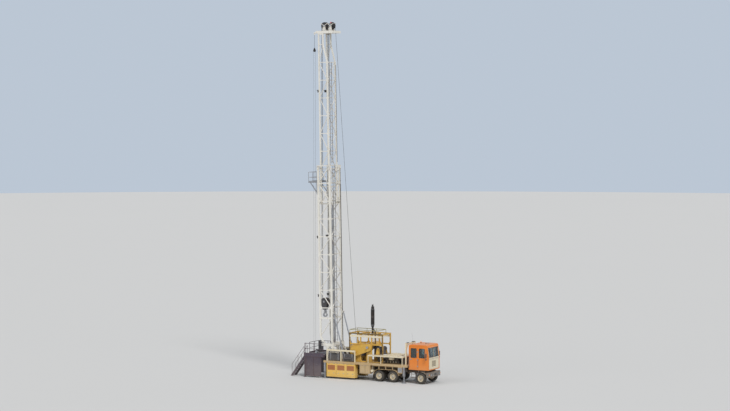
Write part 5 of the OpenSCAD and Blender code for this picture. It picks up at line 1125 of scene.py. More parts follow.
def strand_rope(name, plumb=False):
    """Greased wire rope. Its strands turn by its UV coordinates, or by the normal where it hangs plumb."""
    material, place, normal = start_material(name, "wire_rope")
    if plumb:
        turn = place.math("ARCTAN2", part_of(normal, "Y"), part_of(normal, "X")) * (0.5 / math.pi)
        run = part_of(place, "Z")
    else:
        marks = place.node("ShaderNodeUVMap")
        turn, run = part_of(marks, 0), part_of(marks, 1)
    strands = place.math("SINE", (turn * 6.0 + run * 33.0) * (2 * math.pi))
    grease = ramp(noise(place, 4.0, 4.0), 0.4, 0.7)
    base = mix(ramp(strands, -0.2, 0.6), colour(0.035, 0.032, 0.030), colour(0.24, 0.23, 0.21))
    base = mix(grease * 0.4, base, colour(0.06, 0.045, 0.03))
    end_material(place, base, grease * 0.15 + 0.38, strands, 0.003, metallic=grease * -0.4 + 0.7)
    return material


def rope_piece(name, routes, body="rig", where=carrier, radius=rope_r, sides=10):
    """Ropes along their routes, with one UV unit around them and one to each metre of length."""
    ropes = Piece(name, wire_rope, smooth=60)
    marks = []
    for route in routes:
        ropes.hose(route, radius, sides, bent=False)
        run = 0.0
        for i, point in enumerate(route):
            run += (Vector(point) - Vector(route[i - 1])).length if i else 0.0
            marks += [(k / sides, run) for k in range(sides)]
    made = ropes.make(body, where)
    layer = made.data.uv_layers.new(name="strands")
    for face in made.data.polygons:
        turn = [marks[made.data.loops[corner].vertex_index] for corner in face.loop_indices]
        wraps_round = max(u for u, v in turn) - min(u for u, v in turn) > 0.5
        for corner, (u, v) in zip(face.loop_indices, turn):
            layer.data[corner].uv = (u + 1.0 if wraps_round and u < 0.5 else u, v)
    return made


wire_rope = strand_rope("wire_rope")
plumb_rope = strand_rope("plumb_rope", plumb=True)
main_wraps = wraps(drum, drum_core + rope_r + 0.001, -0.585, 0.07, 2 * rope_r + 0.001, math.pi)
rope_piece("drum_rope", [main_wraps])
second_wraps = wraps(second, second_core + 0.009, -0.58, 0.20, 0.0185, math.pi / 2, 28)
rope_piece("second_drum_rope", [second_wraps], radius=0.008, sides=6)


def case_outline(grow):
    """The chain case seen from the side: two circles and the tangents that they share."""
    r0, r1 = 0.48 + grow, 0.38 + grow
    apart = second - drum
    tilt = math.degrees(math.atan2(apart.z, apart.x))
    open_angle = math.degrees(math.acos((r0 - r1) / apart.length))
    main_end = arc((drum.x, drum.z), r0, tilt + open_angle, tilt + 360 - open_angle, 30)
    return main_end + arc((second.x, second.z), r1, tilt - open_angle, tilt + open_angle, 22)


def around(outline, spacing):
    """Points at even spacing along a closed flat outline."""
    found, left = [], 0.0
    for (ax, az), (bx, bz) in zip(outline, outline[1:] + outline[:1]):
        length = math.dist((ax, az), (bx, bz))
        while left < length:
            found.append((ax + (bx - ax) * left / length, az + (bz - az) * left / length))
            left += spacing
        left -= length
    return found


# Gussets and feet of the frame's posts.
for i, x in enumerate(hoist_posts):
    for z0, way in ((1.86, 1), (3.46, -1), (3.57, 1), (4.49, -1)):
        for side in (-1, 1):
            if (i, side) in ((0, -1), (3, 1)):
                continue
            edge = x + (hoist_post if side > 0 else 0)
            top = z0 + way * 0.15
            gusset = [(edge, z0), (edge + side * 0.15, z0), (edge + side * 0.02, top), (edge, top)]
            hoist_plates.side_plate(gusset, hoist_y + 0.035, hoist_y + 0.047)
    hoist_iron.bolts(grid((x + 0.03, x + 0.08), hoist_y, (1.78, 1.83, 3.49, 3.54, 4.52, 4.57)), NEAR, 0.010)
    shoe_x1, shoe_y1 = x + hoist_post + 0.04, hoist_y + hoist_post + 0.04
    hoist_plates.box((x - 0.04, hoist_y - 0.04, deck_z), (shoe_x1, shoe_y1, deck_z + 0.015))
mirror(hoist_plates, hoist_iron)

# The chain case's flange, the bearings of both shafts and their catheads.
flange, opening = upright(case_outline(0.022), case_rim_y), upright(case_outline(-0.01), case_rim_y)
hoist_plates.plate(flange, (0, 0.020, 0), [opening])
for y, way in ((case_rim_y, NEAR), (case_rim_y + 0.020, FAR)):
    hoist_iron.bolts([(x, y, z) for x, z in around(case_outline(0.011), 0.13)], way, 0.008, 0.010)
spool = [(0.02, 0), (0.075, 0), (0.085, 0.02), (0.062, 0.05), (0.058, 0.11), (0.075, 0.16), (0.125, 0.185),
         (0.125, 0.195), (0.02, 0.195)]
for centre, radius in ((drum, 0.26), (second, 0.19)):
    x, z = centre.x, centre.z
    near_cap = [(0.10, 0), (radius, 0), (radius, 0.014), (0.12, 0.026), (0.10, 0.026)]
    hoist_plates.lathe(near_cap, (x, case_y, z), NEAR, 40)
    hoist_iron.bolts(circle((x, case_y - 0.014, z), NEAR, radius - 0.03, 10), NEAR, 0.011, 0.010)
    far_cap = [(0.02, 0), (0.19, 0), (0.19, 0.03), (0.14, 0.05), (0.13, 0.11), (0.02, 0.12)]
    hoist_plates.lathe(far_cap, (x, far_bearing_y, z), FAR, 36)
    hoist_iron.bolts(circle((x, far_bearing_y + 0.03, z), FAR, 0.165, 8), FAR, 0.014, 0.012)
    hoist_iron.lathe(spool, (x, case_y - 0.016, z), NEAR, 36)
hoist_plates.side_plate(rounded(3.66, 2.98, 4.08, 3.24, 0.05), case_y - 0.012, case_y + 0.002)
cover_bolts = [(x, case_y - 0.012, z) for x, z in around(rounded(3.685, 3.005, 4.055, 3.215, 0.03), 0.10)]
hoist_iron.bolts(cover_bolts, NEAR, 0.008, 0.008)
hoist_iron.turned([(0.024, 0), (0.024, 0.02)], (3.15, -0.99, 2.32), (0, 0, -1), 6)

# The brakes: a shaft with its levers and stands, the shoes' pins, and the ribbed water brake.
brake_x, brake_z, brake_y = 2.62, 2.02, 0.70
hoist_dark.pin((brake_x, 0, brake_z), FAR, 0.75, 0.035, 20)
for y in (-brake_y, brake_y):
    hoist_dark.bar((brake_x, y, brake_z), (brake_x + 0.10, y, brake_z + 0.30), 0.03, 0.05)
    hoist_dark.rod((brake_x + 0.10, y, brake_z + 0.30), (2.98, y, 2.24), 0.014, 10)
    hoist_dark.box((brake_x - 0.05, y - 0.04, deck_z + 0.10), (brake_x + 0.05, y + 0.04, brake_z + 0.04))
for k in range(8):
    angle = math.radians(100 + 35 * k)
    shoe = drum + Vector((0.575 * math.cos(angle), 0, 0.575 * math.sin(angle)))
    for y in (-brake_y, brake_y):
        hoist_dark.pin(shoe + Vector((0, y, 0)), FAR, 0.045, 0.012, 8)
ribs = [(0.03, 0.005), (0.30, 0.005), (0.36, 0.03), (0.40, 0.03), (0.40, 0.06), (0.37, 0.075), (0.37, 0.125),
        (0.40, 0.14), (0.40, 0.17), (0.36, 0.17), (0.30, 0.22), (0.15, 0.235), (0.03, 0.235)]
hoist_dark.lathe(ribs, (drum.x, 0.885, drum.z), FAR, 48)
hoist_dark.bolts(circle((drum.x, 1.115, drum.z), FAR, 0.22, 12), FAR, 0.014, 0.012)

# The wire mesh of the foremost bay, with the clutches and the gearbox on the shelf behind it.
mesh_x0, mesh_x1, mesh_z0, mesh_z1 = hoist_posts[2] + hoist_post, hoist_posts[3], 3.57, 4.49
for x in steps(mesh_x0 + 0.03, mesh_x1 - 0.03, 22):
    hoist_plates.box((x - 0.003, hoist_y + 0.050, mesh_z0), (x + 0.003, hoist_y + 0.056, mesh_z1))
for z in steps(mesh_z0 + 0.03, mesh_z1 - 0.03, 18):
    hoist_plates.box((mesh_x0, hoist_y + 0.056, z - 0.003), (mesh_x1, hoist_y + 0.062, z + 0.003))
clutch_x, clutch_z, shelf_z = 5.62, 3.05, 2.552
clutch = [(0.05, 0), (0.20, 0), (0.24, 0.02), (0.24, 0.05), (0.21, 0.06), (0.21, 0.10), (0.24, 0.11),
          (0.24, 0.14), (0.20, 0.16), (0.05, 0.16)]
for y in (-0.55, 0.71):
    hoist_dark.lathe(clutch, (clutch_x, y, clutch_z), NEAR, 40)
hoist_dark.pin((clutch_x, 0, clutch_z), FAR, 0.80, 0.05, 20)
for y in (-0.80, 0.76):
    pedestal = [(5.37, 2.56), (5.87, 2.56), (5.75, 3.10), (5.69, 3.19), (5.55, 3.19), (5.49, 3.10)]
    hoist_plates.side_plate(pedestal, y, y + 0.04)
    hoist_plates.box((5.33, y - 0.03, shelf_z), (5.91, y + 0.07, shelf_z + 0.020))
hoist_dark.box((5.33, -0.42, shelf_z), (5.98, 0.42, 2.66))
hoist_dark.side_plate([(5.38, 2.66), (5.93, 2.66), (5.83, 3.28), (5.43, 3.28)], -0.30, 0.30)
for z in (2.74, 2.93, 3.12):
    hoist_dark.box((5.37, -0.315, z), (5.91, 0.315, z + 0.02))
make(hoist_plates, hoist_iron, hoist_dark)

# Three lines that run up the first post, along the top rail and down the last, with their clamps.
line_y = hoist_y - 0.032
for k in range(3):
    x0, x1, z = 2.475 + 0.028 * k, 6.175 - 0.028 * k, 4.575 - 0.028 * k
    line = [(x0, deck_z), (x0, 2.6), (x0, z - 0.35), (x0, z - 0.06), (x0 + 0.06, z), (x0 + 0.35, z), (4.3, z),
            (x1 - 0.35, z), (x1 - 0.06, z), (x1, z - 0.06), (x1, z - 0.35), (x1, 3.2), (x1, 2.56)]
    hoist_hoses.hose(upright(line, line_y), 0.010, 8)
for z in (2.1, 2.9, 3.8):
    for x in (2.505, 6.147):
        hoist_hoses.box((x - 0.050, hoist_y - 0.044, z), (x + 0.050, hoist_y, z + 0.025))
for x in steps(3.0, 5.7, 5):
    hoist_hoses.box((x, hoist_y - 0.044, 4.497), (x + 0.025, hoist_y, 4.595))
hoist_hoses.hose([(5.62, -0.80, 3.05), (5.66, -0.84, 3.06), (5.76, -0.85, 2.95), (5.84, -0.84, 2.75),
                  (5.86, -0.84, 2.55)], 0.012)
hoist_hoses.make()


# Engine, canopy and radiator. A V engine in oily enamel under a cream roof, with rocker covers,
# filters, belts and coolant hoses, and a finned radiator core in front of its fan.
dress(cream_enamel, "engine_canopy", edge=0.005)
dress(oily_enamel, "engine_block", "radiator", edge=0.004)
engine_x0, engine_x1, engine_front = 6.30, 7.70, 7.74
radiator_x0, radiator_x1 = ends("radiator")[0].x, ends("radiator")[1].x
bank = Vector((0, -0.405, 2.265))
along_bank, out_of_bank = Vector((0, 0.607, 0.794)), Vector((0, -0.794, 0.607))
cleaner_y, cleaner_z = -0.93, 2.27
engine_dark = Piece("engine_covers", oily_enamel, edge=0.003)
engine_iron = Piece("engine_fittings", bare_steel, edge=0.001)
engine_filters = Piece("engine_filters", cream_enamel)
engine_hoses = Piece("engine_hoses", hose_rubber)
fins = Piece("radiator_core", bare_steel)
for x in steps(engine_x0 + 0.07, engine_x1 - 0.25, 6):
    start = Vector((x, 0, 0))
    section = [(-0.085, 0), (0.085, 0), (0.085, 0.024), (0.060, 0.046), (-0.060, 0.046), (-0.085, 0.024)]
    engine_dark.prism([bank + along_bank * t + out_of_bank * h for t, h in section], start, (x + 0.18, 0, 0))
    cover_bolts = [Vector((x + dx, 0, 0)) + bank + along_bank * t + out_of_bank * 0.046
                   for dx in (0.03, 0.15) for t in (-0.03, 0.03)]
    engine_iron.bolts(cover_bolts, out_of_bank, 0.008, 0.008)
    engine_iron.rod((x + 0.09, -0.455, 2.10), bank + along_bank * -0.09 + Vector((x + 0.09, 0, 0)), 0.026, 12)
oil_filter = [(0.050, 0), (0.056, 0.01), (0.056, 0.17), (0.040, 0.19)]
for x in steps(6.50, 7.40, 4):
    engine_filters.turned(oil_filter, (x, -0.375, 1.79), UP, 24)
cleaner = [(0.125, 0), (0.135, 0.02), (0.135, 0.42), (0.105, 0.44), (0.105, 0.50)]
engine_filters.turned(cleaner, (6.95, cleaner_y, cleaner_z), AHEAD, 32)
for x in (7.03, 7.30):
    engine_iron.ring(0.136, 0.142, 0.03, (x, cleaner_y, cleaner_z), AHEAD)
    engine_dark.box((x, -0.96, 2.40), (x + 0.03, -0.90, 2.445))
intake = [(6.96, cleaner_y, cleaner_z), (6.80, -0.90, 2.26), (6.72, -0.70, 2.18), (6.70, -0.52, 2.12)]
engine_hoses.hose(intake, 0.045, 14)
mirror(engine_dark, engine_filters, engine_iron, engine_hoses)

# Pulleys and belts, coolant hoses, and the radiator's shroud, fins and cap.
for y, z, radius in ((0, 2.05, 0.115), (-0.21, 2.22, 0.065), (0.20, 1.93, 0.08)):
    groove = [(radius, 0), (radius - 0.018, 0.012), (radius, 0.024), (radius, 0.034)]
    engine_iron.turned(groove, (engine_front, y, z), AHEAD, 28, core=0.02)
belt = [(0.02, 1.935), (-0.11, 2.03), (-0.27, 2.20), (-0.26, 2.26), (-0.19, 2.283), (0.05, 2.155),
        (0.25, 1.99), (0.27, 1.92), (0.21, 1.855)]
for x in (engine_front + 0.010, engine_front + 0.026):
    engine_hoses.loop(facing(belt, x), 0.006)
upper_hose = [(7.55, 0.10, 2.36), (7.78, 0.16, 2.38), (7.98, 0.24, 2.36), (8.18, 0.30, 2.34)]
lower_hose = [(7.68, -0.26, 1.86), (7.85, -0.36, 1.84), (8.02, -0.40, 1.84), (8.18, -0.42, 1.86)]
for route in (upper_hose, lower_hose):
    engine_hoses.hose(route, 0.034, 14)
shroud = [(0.262, 0), (0.272, 0), (0.272, 0.06), (0.293, 0.085), (0.293, 0.125), (0.262, 0.125)]
engine_dark.lathe(shroud, (radiator_x0 - 0.125, 0, 2.05), AHEAD, 40)
for z in steps(1.84, 2.35, 44):
    fins.box((radiator_x0 + 0.05, -0.54, z - 0.001), (radiator_x1 - 0.05, 0.54, z + 0.001))
engine_iron.turned([(0.045, 0), (0.045, 0.02), (0.03, 0.03)], (radiator_x0 + 0.11, 0.40, 2.44), UP, 20)
make(fins, engine_dark, engine_iron, engine_filters, engine_hoses)

# Bolts along the edges of both canopies, and handles on top of the engine's.
canopy_iron = Piece("canopy_fittings", bare_steel)
canopy_iron.bolts([(x, -1.40, 2.495) for x in steps(4.9, 8.5, 19)], NEAR, 0.010, 0.007)
canopy_iron.bolts([(x, -0.9, 4.295) for x in steps(2.6, 6.05, 16)], NEAR, 0.012, 0.008)
for x in (5.4, 6.9, 8.1):
    handle = [(x - 0.08, 2.55), (x - 0.08, 2.60), (x + 0.08, 2.60), (x + 0.08, 2.55)]
    canopy_iron.loop(upright(handle, -1.25), 0.008)
mirror(canopy_iron)
canopy_iron.make()


# Exhaust. Black enamel, dull with soot and rusty at its clamps. A pipe brings it up from the
# engine, a slotted shield stands round the silencer, and a flap covers its mouth.
stack_black = enamel("stack_black", "stack_black", colour(0.016, 0.015, 0.015), colour(0.034, 0.030, 0.027),
                     gloss=0.7, dust=0.12, rust=0.35, chips=-0.6)
dress(stack_black, "exhaust_stack")
stack = middle("exhaust_stack")
stack_x, stack_y = stack.x, stack.y
stack_r, stack_top, silencer_z0 = 0.15, ends("exhaust_stack")[1].z, 5.29
exhaust = Piece("exhaust_shield", stack_black)
exhaust_iron = Piece("exhaust_clamps", bare_steel)
exhaust.hose([(6.34, -0.455, 2.08), (6.05, -0.58, 2.12), (5.62, -0.62, 2.16), (5.28, -0.62, 2.42),
              (5.25, -0.62, 2.9), (5.25, -0.62, 3.5), (5.23, -0.61, 4.3), (5.21, -0.60, 4.72),
              (5.11, -0.60, 4.93), (4.94, -0.60, 4.98)], 0.060, 18)
exhaust.ring(0.055, 0.075, 0.17, (stack_x, stack_y, stack_top - 0.001), sides=28)
collar = [(0.10, -0.02), (0.152, -0.02), (0.152, 0), (0.11, 0.015), (0.10, 0.015)]
exhaust.lathe(collar, (stack_x, stack_y, silencer_z0), UP, 36)
lid = [(0.002, 0), (0.082, 0), (0.082, 0.008), (0.002, 0.010)]
exhaust.lathe(lid, (stack_x + 0.03, stack_y, stack_top + 0.215), (-0.45, 0, 0.9), 28)
lid_x = stack_x - 0.085
exhaust.bar((lid_x, stack_y, stack_top + 0.16), (lid_x - 0.07, stack_y, stack_top + 0.12), 0.02, 0.014)
stack_axis = Vector((stack_x, stack_y, 0))
slat = ((-0.017, 0), (0.017, 0), (0.017, 0.006), (-0.017, 0.006))
for spoke in circle(stack_axis, UP, stack_r + 0.024, 20):
    ahead = (spoke - stack_axis).normalized()
    across = frame_of(ahead)[0]
    exhaust.prism([spoke + across * a + ahead * b for a, b in slat], (0, 0, 5.45), (0, 0, 7.0))
for z in (5.42, 6.22, 6.98):
    exhaust_iron.ring(stack_r, stack_r + 0.030, 0.035, (stack_x, stack_y, z), sides=40)
    exhaust_iron.box((stack_x + 0.17, stack_y - 0.02, z), (stack_x + 0.215, stack_y + 0.02, z + 0.035))
exhaust_iron.ring(0.10, 0.17, 0.016, (stack_x, stack_y, 4.60), sides=36)
exhaust_iron.bolts(circle((stack_x, stack_y, 4.616), UP, 0.145, 8), UP, 0.012)
make(exhaust, exhaust_iron)


# Mast rest. A cream trestle over the deck, which carries the mast on the road. It has rubber
# pads on its top beam, and its feet are bolted down.
dress(cream_enamel, "mast_rest", edge=0.006)
rest_pads = Piece("rest_pads", rubber, edge=0.006)
rest_iron = Piece("rest_bolts", bare_steel)
rest_x, rest_top = middle("mast_rest").x, ends("mast_rest")[1].z
for y in (-0.62, 0.62):
    rest_pads.box((rest_x - 0.075, y - 0.20, rest_top - 0.042), (rest_x + 0.075, y + 0.20, rest_top + 0.012))
rest_iron.bolts(grid(both(rest_x, 0.08), (-1.01, -0.87), deck_z + 0.02), UP, 0.012)
mirror(rest_iron)
make(rest_pads, rest_iron)


# Mast. Two telescoping lattice sections of square tube in chalky cream-white enamel. Gusset
# plates sit in every corner of the bracing, and pipes, lines and lamps run up the legs.
dress(mast_enamel, "lower_mast_near", "lower_mast_far", "lower_mast_back", edge=0.005)
dress(mast_enamel, "upper_mast_near", "upper_mast_far", "upper_mast_back", edge=0.004)
dress(bare_steel, "scoping_ram", "mast_ladder")
mast_lean = math.radians(-1)
mast = carrier @ Matrix.Translation((0, 0, foot_z)) @ Matrix.Rotation(mast_lean, 4, "Y")
lower_pitch, upper_pitch, portal_z = 1.76, 1.75, 2.50
lower_x, lower_y, lower_half, lower_brace = 0.645, 1.02, 0.08, 0.04
upper_x, upper_y, upper_half, upper_brace = 0.4625, 0.7975, 0.0625, 0.0325
upper_z0, lower_top = 13.75, 17.60
gussets = Piece("mast_gussets", mast_enamel)
mast_bolts = Piece("mast_bolts", bare_steel)


def gusset_outline(leg, half, z, reach, tall):
    """A plate in the corner between a leg's inner side and the bracing that meets it."""
    inward = -1 if leg > 0 else 1
    edge = leg + inward * half
    shape = ((0, -1), (0.55, -0.30), (1, -0.2), (1, 0.2), (0.55, 0.30), (0, 1))
    return [(edge + inward * reach * a, z + tall * b) for a, b in shape]


def leg_gussets(x_leg, y_leg, half, brace, z, reach, tall, thick):
    """The plates of both legs of the near side, and the near plate of the back, at one height."""
    for x in (-x_leg, x_leg):
        gussets.side_plate(gusset_outline(x, half, z, reach, tall), -y_leg - brace - thick, -y_leg - brace)
    gussets.front_plate(gusset_outline(-y_leg, half, z, reach, tall), x_leg + brace, x_leg + brace + thick)


lower_nodes = [i * lower_pitch for i in range(2, 10)]
for z in [portal_z] + lower_nodes:
    leg_gussets(lower_x, lower_y, lower_half, lower_brace, z, 0.22, 0.20, 0.010)
for z in [upper_z0 + i * upper_pitch for i in range(1, 9)]:
    leg_gussets(upper_x, upper_y, upper_half, upper_brace, z, 0.17, 0.16, 0.008)
leg_y = -lower_y - lower_half
for x in (-lower_x, lower_x):
    gussets.box((x - 0.115, leg_y - 0.025, lower_top - 0.16), (x + 0.115, leg_y, lower_top - 0.02))
    gussets.box((x - 0.105, leg_y - 0.035, lower_top - 0.42), (x + 0.105, leg_y, lower_top - 0.26))
    mast_bolts.bolts(grid(both(x, 0.075), leg_y - 0.035, (lower_top - 0.30, lower_top - 0.38)), NEAR, 0.014)
    mast_bolts.pin((x, leg_y - 0.05, lower_top - 0.09), FAR, 0.03, 0.035, 16)
for z in lower_nodes[1::2]:
    mast_bolts.bolts(grid(-lower_x + 0.11, leg_y + 0.03, both(z, 0.08)), NEAR, 0.012)
mirror(gussets, mast_bolts)
make(gussets, mast_bolts, where=mast)

# The standpipe with its unions, and the lines with their clamps.
standpipe = Piece("standpipe", mast_enamel)
mast_hoses = Piece("mast_lines", hose_rubber)
pipe_x, pipe_y = -lower_x, lower_y + lower_half + 0.065
straight = [(pipe_x, pipe_y, z) for z in (0.95, 1.4, 7.0, 12.0, 14.0)]
gooseneck = [(pipe_x - 0.02, pipe_y, 14.45), (pipe_x - 0.12, pipe_y - 0.04, 14.62),
             (pipe_x - 0.22, pipe_y - 0.10, 14.48), (pipe_x - 0.24, pipe_y - 0.12, 14.30)]
standpipe.hose(straight + gooseneck, 0.045, 16)
union = [(0.078, 0), (0.078, 0.022), (0.050, 0.026), (0.050, 0.034), (0.078, 0.038), (0.078, 0.06)]
for z in (1.1, 4.4, 7.9, 11.4):
    standpipe.turned(union, (pipe_x, pipe_y, z), UP, 20, core=0.045)
for z in steps(1.9, 13.6, 8):
    standpipe.box((pipe_x - 0.065, lower_y + lower_half, z - 0.03), (pipe_x + 0.065, pipe_y, z + 0.03))
line_x = lower_x + lower_half + 0.014
for k in range(4):
    y = lower_y - 0.045 + 0.03 * k
    line_top = lower_top - 0.3 if k < 2 else 15.7
    mast_hoses.hose([(line_x, y, z) for z in (0.05, 3.0, 9.0, line_top)], 0.011, 8)
for z in steps(0.8, 16.8, 21):
    mast_hoses.box((lower_x + lower_half, lower_y - 0.065, z), (line_x + 0.016, lower_y + 0.065, z + 0.025))
line_x = upper_x + upper_half + 0.012
for y in (upper_y - 0.015, upper_y + 0.015):
    mast_hoses.hose([(line_x, y, z) for z in (lower_top + 0.3, 20.0, 24.0, 27.5)], 0.009, 8)
make(standpipe, mast_hoses, where=mast)

# Flood lamps on both legs at three heights, each with a hood.
lamp_boxes = Piece("flood_lamps", oily_enamel, edge=0.004)
lamp_faces = Piece("flood_glasses", clear_glass("flood_glass", colour(0.92, 0.92, 0.88), 0.5, ribs=0.5))
for z in (4.6, 10.4, 24.8):
    low = z < lower_top
    x = -lower_x - lower_half if low else -upper_x - upper_half
    reach = (lower_y if low else upper_y) - 0.10
    for y in (-reach, reach):
        lamp_boxes.box((x - 0.14, y - 0.16, z), (x - 0.05, y + 0.16, z + 0.24))
        lamp_boxes.bar((x - 0.07, y, z + 0.12), (x + 0.01, y, z + 0.12), 0.05)
        hood = [(x - 0.14, z + 0.24), (x - 0.14, z + 0.25), (x - 0.24, z + 0.20), (x - 0.24, z + 0.19)]
        lamp_boxes.side_plate(hood, y - 0.17, y + 0.17)
        lamp_faces.box((x - 0.148, y - 0.14, z + 0.02), (x - 0.138, y + 0.14, z + 0.22))
make(lamp_boxes, lamp_faces, where=mast)


# Crown. Greased cast sheaves on two shafts between bearing stands, in cream-white beams with
# bar grating beside them. Keepers hold the ropes in their grooves, and a beacon stands on top.
dress(mast_enamel, "crown_frame", edge=0.004)
cast_iron = worn_steel("cast_iron", "cast_sheave", colour(0.06, 0.06, 0.065), colour(0.035, 0.034, 0.034),
                       shine=0.5, metal=0.5)
dress(cast_iron, "crown_sheaves", edge=0.002)
well_x, shaft_z, crown_z = -0.70, 31.35, 30.85
crown_x = (well_x + shaft_z * math.sin(-mast_lean)) / math.cos(mast_lean)
sheave_r, sheave_pitch = 0.34, 0.11
fast_x, fast_y = crown_x + 2 * sheave_r, 2 * sheave_pitch
near_stand, far_stand = -0.215, 0.345
beacon_place = (0.80, -0.55, crown_z + 0.75)
crown_iron = Piece("crown_fittings", bare_steel, edge=0.0015)
keepers = Piece("rope_keepers", mast_enamel)
grating = Piece("gratings", bare_steel)
red_beacon = Piece("crown_beacon", red_lamps.material)
cap = [(0.062, -0.020), (0.105, -0.020), (0.105, 0.002), (0.075, 0.016), (0.002, 0.016), (0.002, 0),
       (0.062, 0)]
for x in (crown_x, fast_x):
    for y, out in ((near_stand - 0.055, NEAR), (far_stand + 0.055, FAR)):
        crown_iron.lathe(cap, (x, y, shaft_z), out, 28)
        crown_iron.bolts(circle((x, y, shaft_z), out, 0.090, 6), out, 0.010, 0.012)
    for y, out in ((near_stand, NEAR), (far_stand, FAR)):
        crown_iron.bolts(grid(both(x, 0.13), both(y, 0.035), crown_z + 0.05), out, 0.014)
    for angle in (math.radians(35), math.radians(145)):
        dx, dz = 0.40 * math.cos(angle), 0.40 * math.sin(angle)
        keeper = (x + dx, (near_stand + far_stand) / 2, shaft_z + dz)
        keepers.pin(keeper, FAR, (far_stand - near_stand) / 2 + 0.02, 0.016, 12)
        for y in (near_stand, far_stand):
            arm = [(x + dx * share, y, shaft_z + dz * share) for share in (0.2, 1.04)]
            keepers.bar(*arm, 0.012, 0.05)
grate_x0, grate_x1 = -0.655, 1.007
for y0, y1 in ((-0.735, -0.255), (0.385, 0.735)):
    for y in steps(y0, y1, int((y1 - y0) / 0.035)):
        grating.box((grate_x0, y - 0.0025, crown_z - 0.035), (grate_x1, y + 0.0025, crown_z - 0.005))
    for x in steps(grate_x0 + 0.05, grate_x1 - 0.05, 15):
        grating.rod((x, y0, crown_z - 0.008), (x, y1, crown_z - 0.008), 0.004, 6)
    for y in (y0 - 0.005, y1):
        grating.box((grate_x0, y, crown_z - 0.045), (grate_x1, y + 0.005, crown_z))
keepers.rod((0.80, -0.55, crown_z), beacon_place, 0.02, 12)
beacon_lens = [(0.002, 0), (0.050, 0), (0.052, 0.06), (0.036, 0.10), (0.002, 0.115)]
red_beacon.lathe(beacon_lens, beacon_place, UP, 24)
make(red_beacon, keepers, crown_iron, where=mast)


# Racking board. Bare steel walkways with bar grating, toe boards and knee braces, and fingers
# between which stands of pipe are racked, each with a latch.
dress(bare_steel, "racking_board", "racking_fingers", edge=0.002)
board_top, board_front, board_back = 15.96, -1.725, -0.727
board_half, board_walk = 1.10, 0.38
latch_x = -0.94
toe_boards = Piece("board_fittings", bare_steel)
for y in steps(-board_half + 0.02, board_half - 0.02, 57):
    back = board_back if abs(y) > board_half - board_walk else board_front + board_walk
    grating.box((board_front + 0.02, y - 0.0025, board_top), (back - 0.01, y + 0.0025, board_top + 0.020))
for x in steps(board_front + 0.05, board_back - 0.05, 10):
    for y in (-board_half + 0.01, board_half - board_walk + 0.01):
        grating.rod((x, y, board_top + 0.018), (x, y + board_walk - 0.02, board_top + 0.018), 0.004, 6)
grating.make(where=mast)
toe_z0, toe_z1 = board_top - 0.02, board_top + 0.11
for side, out in ((-1, NEAR), (1, FAR)):
    toe_y = side * board_half
    toe_boards.box((board_front, toe_y, toe_z0), (board_back, toe_y - side * 0.006, toe_z1))
    toe_bolts = [(x, toe_y, board_top - 0.03) for x in steps(board_front + 0.1, board_back - 0.1, 6)]
    toe_boards.bolts(toe_bolts, out, 0.010, 0.006)
toe_boards.box((board_front, -board_half, toe_z0), (board_front + 0.006, board_half, toe_z1))
for side in (-1, 1):
    for k in range(1, 5):
        y = side * (0.75 - k * 0.14)
        toe_boards.box((-0.98, y - 0.034, 15.955), (-0.90, y + 0.034, 15.968))
        toe_boards.rod((latch_x, y, 15.965), (latch_x, y, 16.02), 0.009, 8)
        toe_boards.bar((latch_x, y, 16.015), (latch_x, y + 0.075, 16.015), 0.014)
toe_boards.make(where=mast)


# Work floor. Dark purple enamel on tread plate round a steel rotary table, darker than its paint
# as painted shade under the floor, with dark floor panels that stand in for that shade. It carries
# toe boards, a driller's console, the table's drive and bushing, and yellow edges on the stair.
# The floor's enamel is partly its dark purple paint and partly painted shade, made darker to stand for the
# shadow under the work floor.
floor_enamel_and_shade = enamel("floor_enamel_and_shade", "floor_steel", colour(0.046, 0.033, 0.055), colour(0.076, 0.058, 0.084),
                      gloss=0.45, dust=0.24, rust=0.4, chips=0.6, tread=1.2)
# The floor panels are dark sheets set where the shade under the floor and beside the stair falls: painted
# shade.
dress(floor_enamel_and_shade, "work_floor", "floor_rails", "stair_treads", "stair_stringers", "floor_panels",
      edge=0.003)
dress(bare_steel, "rotary_table", "tugger_winch", edge=0.004)
floor_z, floor_x0, floor_x1, floor_y = 2.30, -2.28, -0.12, 1.50
stair_y0, stair_y1 = -1.24, -0.48
well, kick_z = Vector((well_x, 0, floor_z)), floor_z + 0.12
kick = Piece("floor_kickboards", floor_enamel_and_shade, edge=0.002)
floor_iron = Piece("floor_fittings", bare_steel, edge=0.001)
console = Piece("driller_console", oily_enamel, edge=0.008)
console_dials = Piece("console_dials", cream_enamel)
nosings = Piece("stair_nosings", yellow_enamel)
for y in (-floor_y, floor_y - 0.008):
    kick.box((floor_x0, y, floor_z), (floor_x1, y + 0.008, kick_z))
for y0, y1 in ((-floor_y, stair_y0), (stair_y1, floor_y)):
    kick.box((floor_x0, y0, floor_z), (floor_x0 + 0.008, y1, kick_z))
kick.front_plate(rounded(0.52, floor_z, 1.36, floor_z + 0.13, 0.03, 3), -0.83, -0.57)

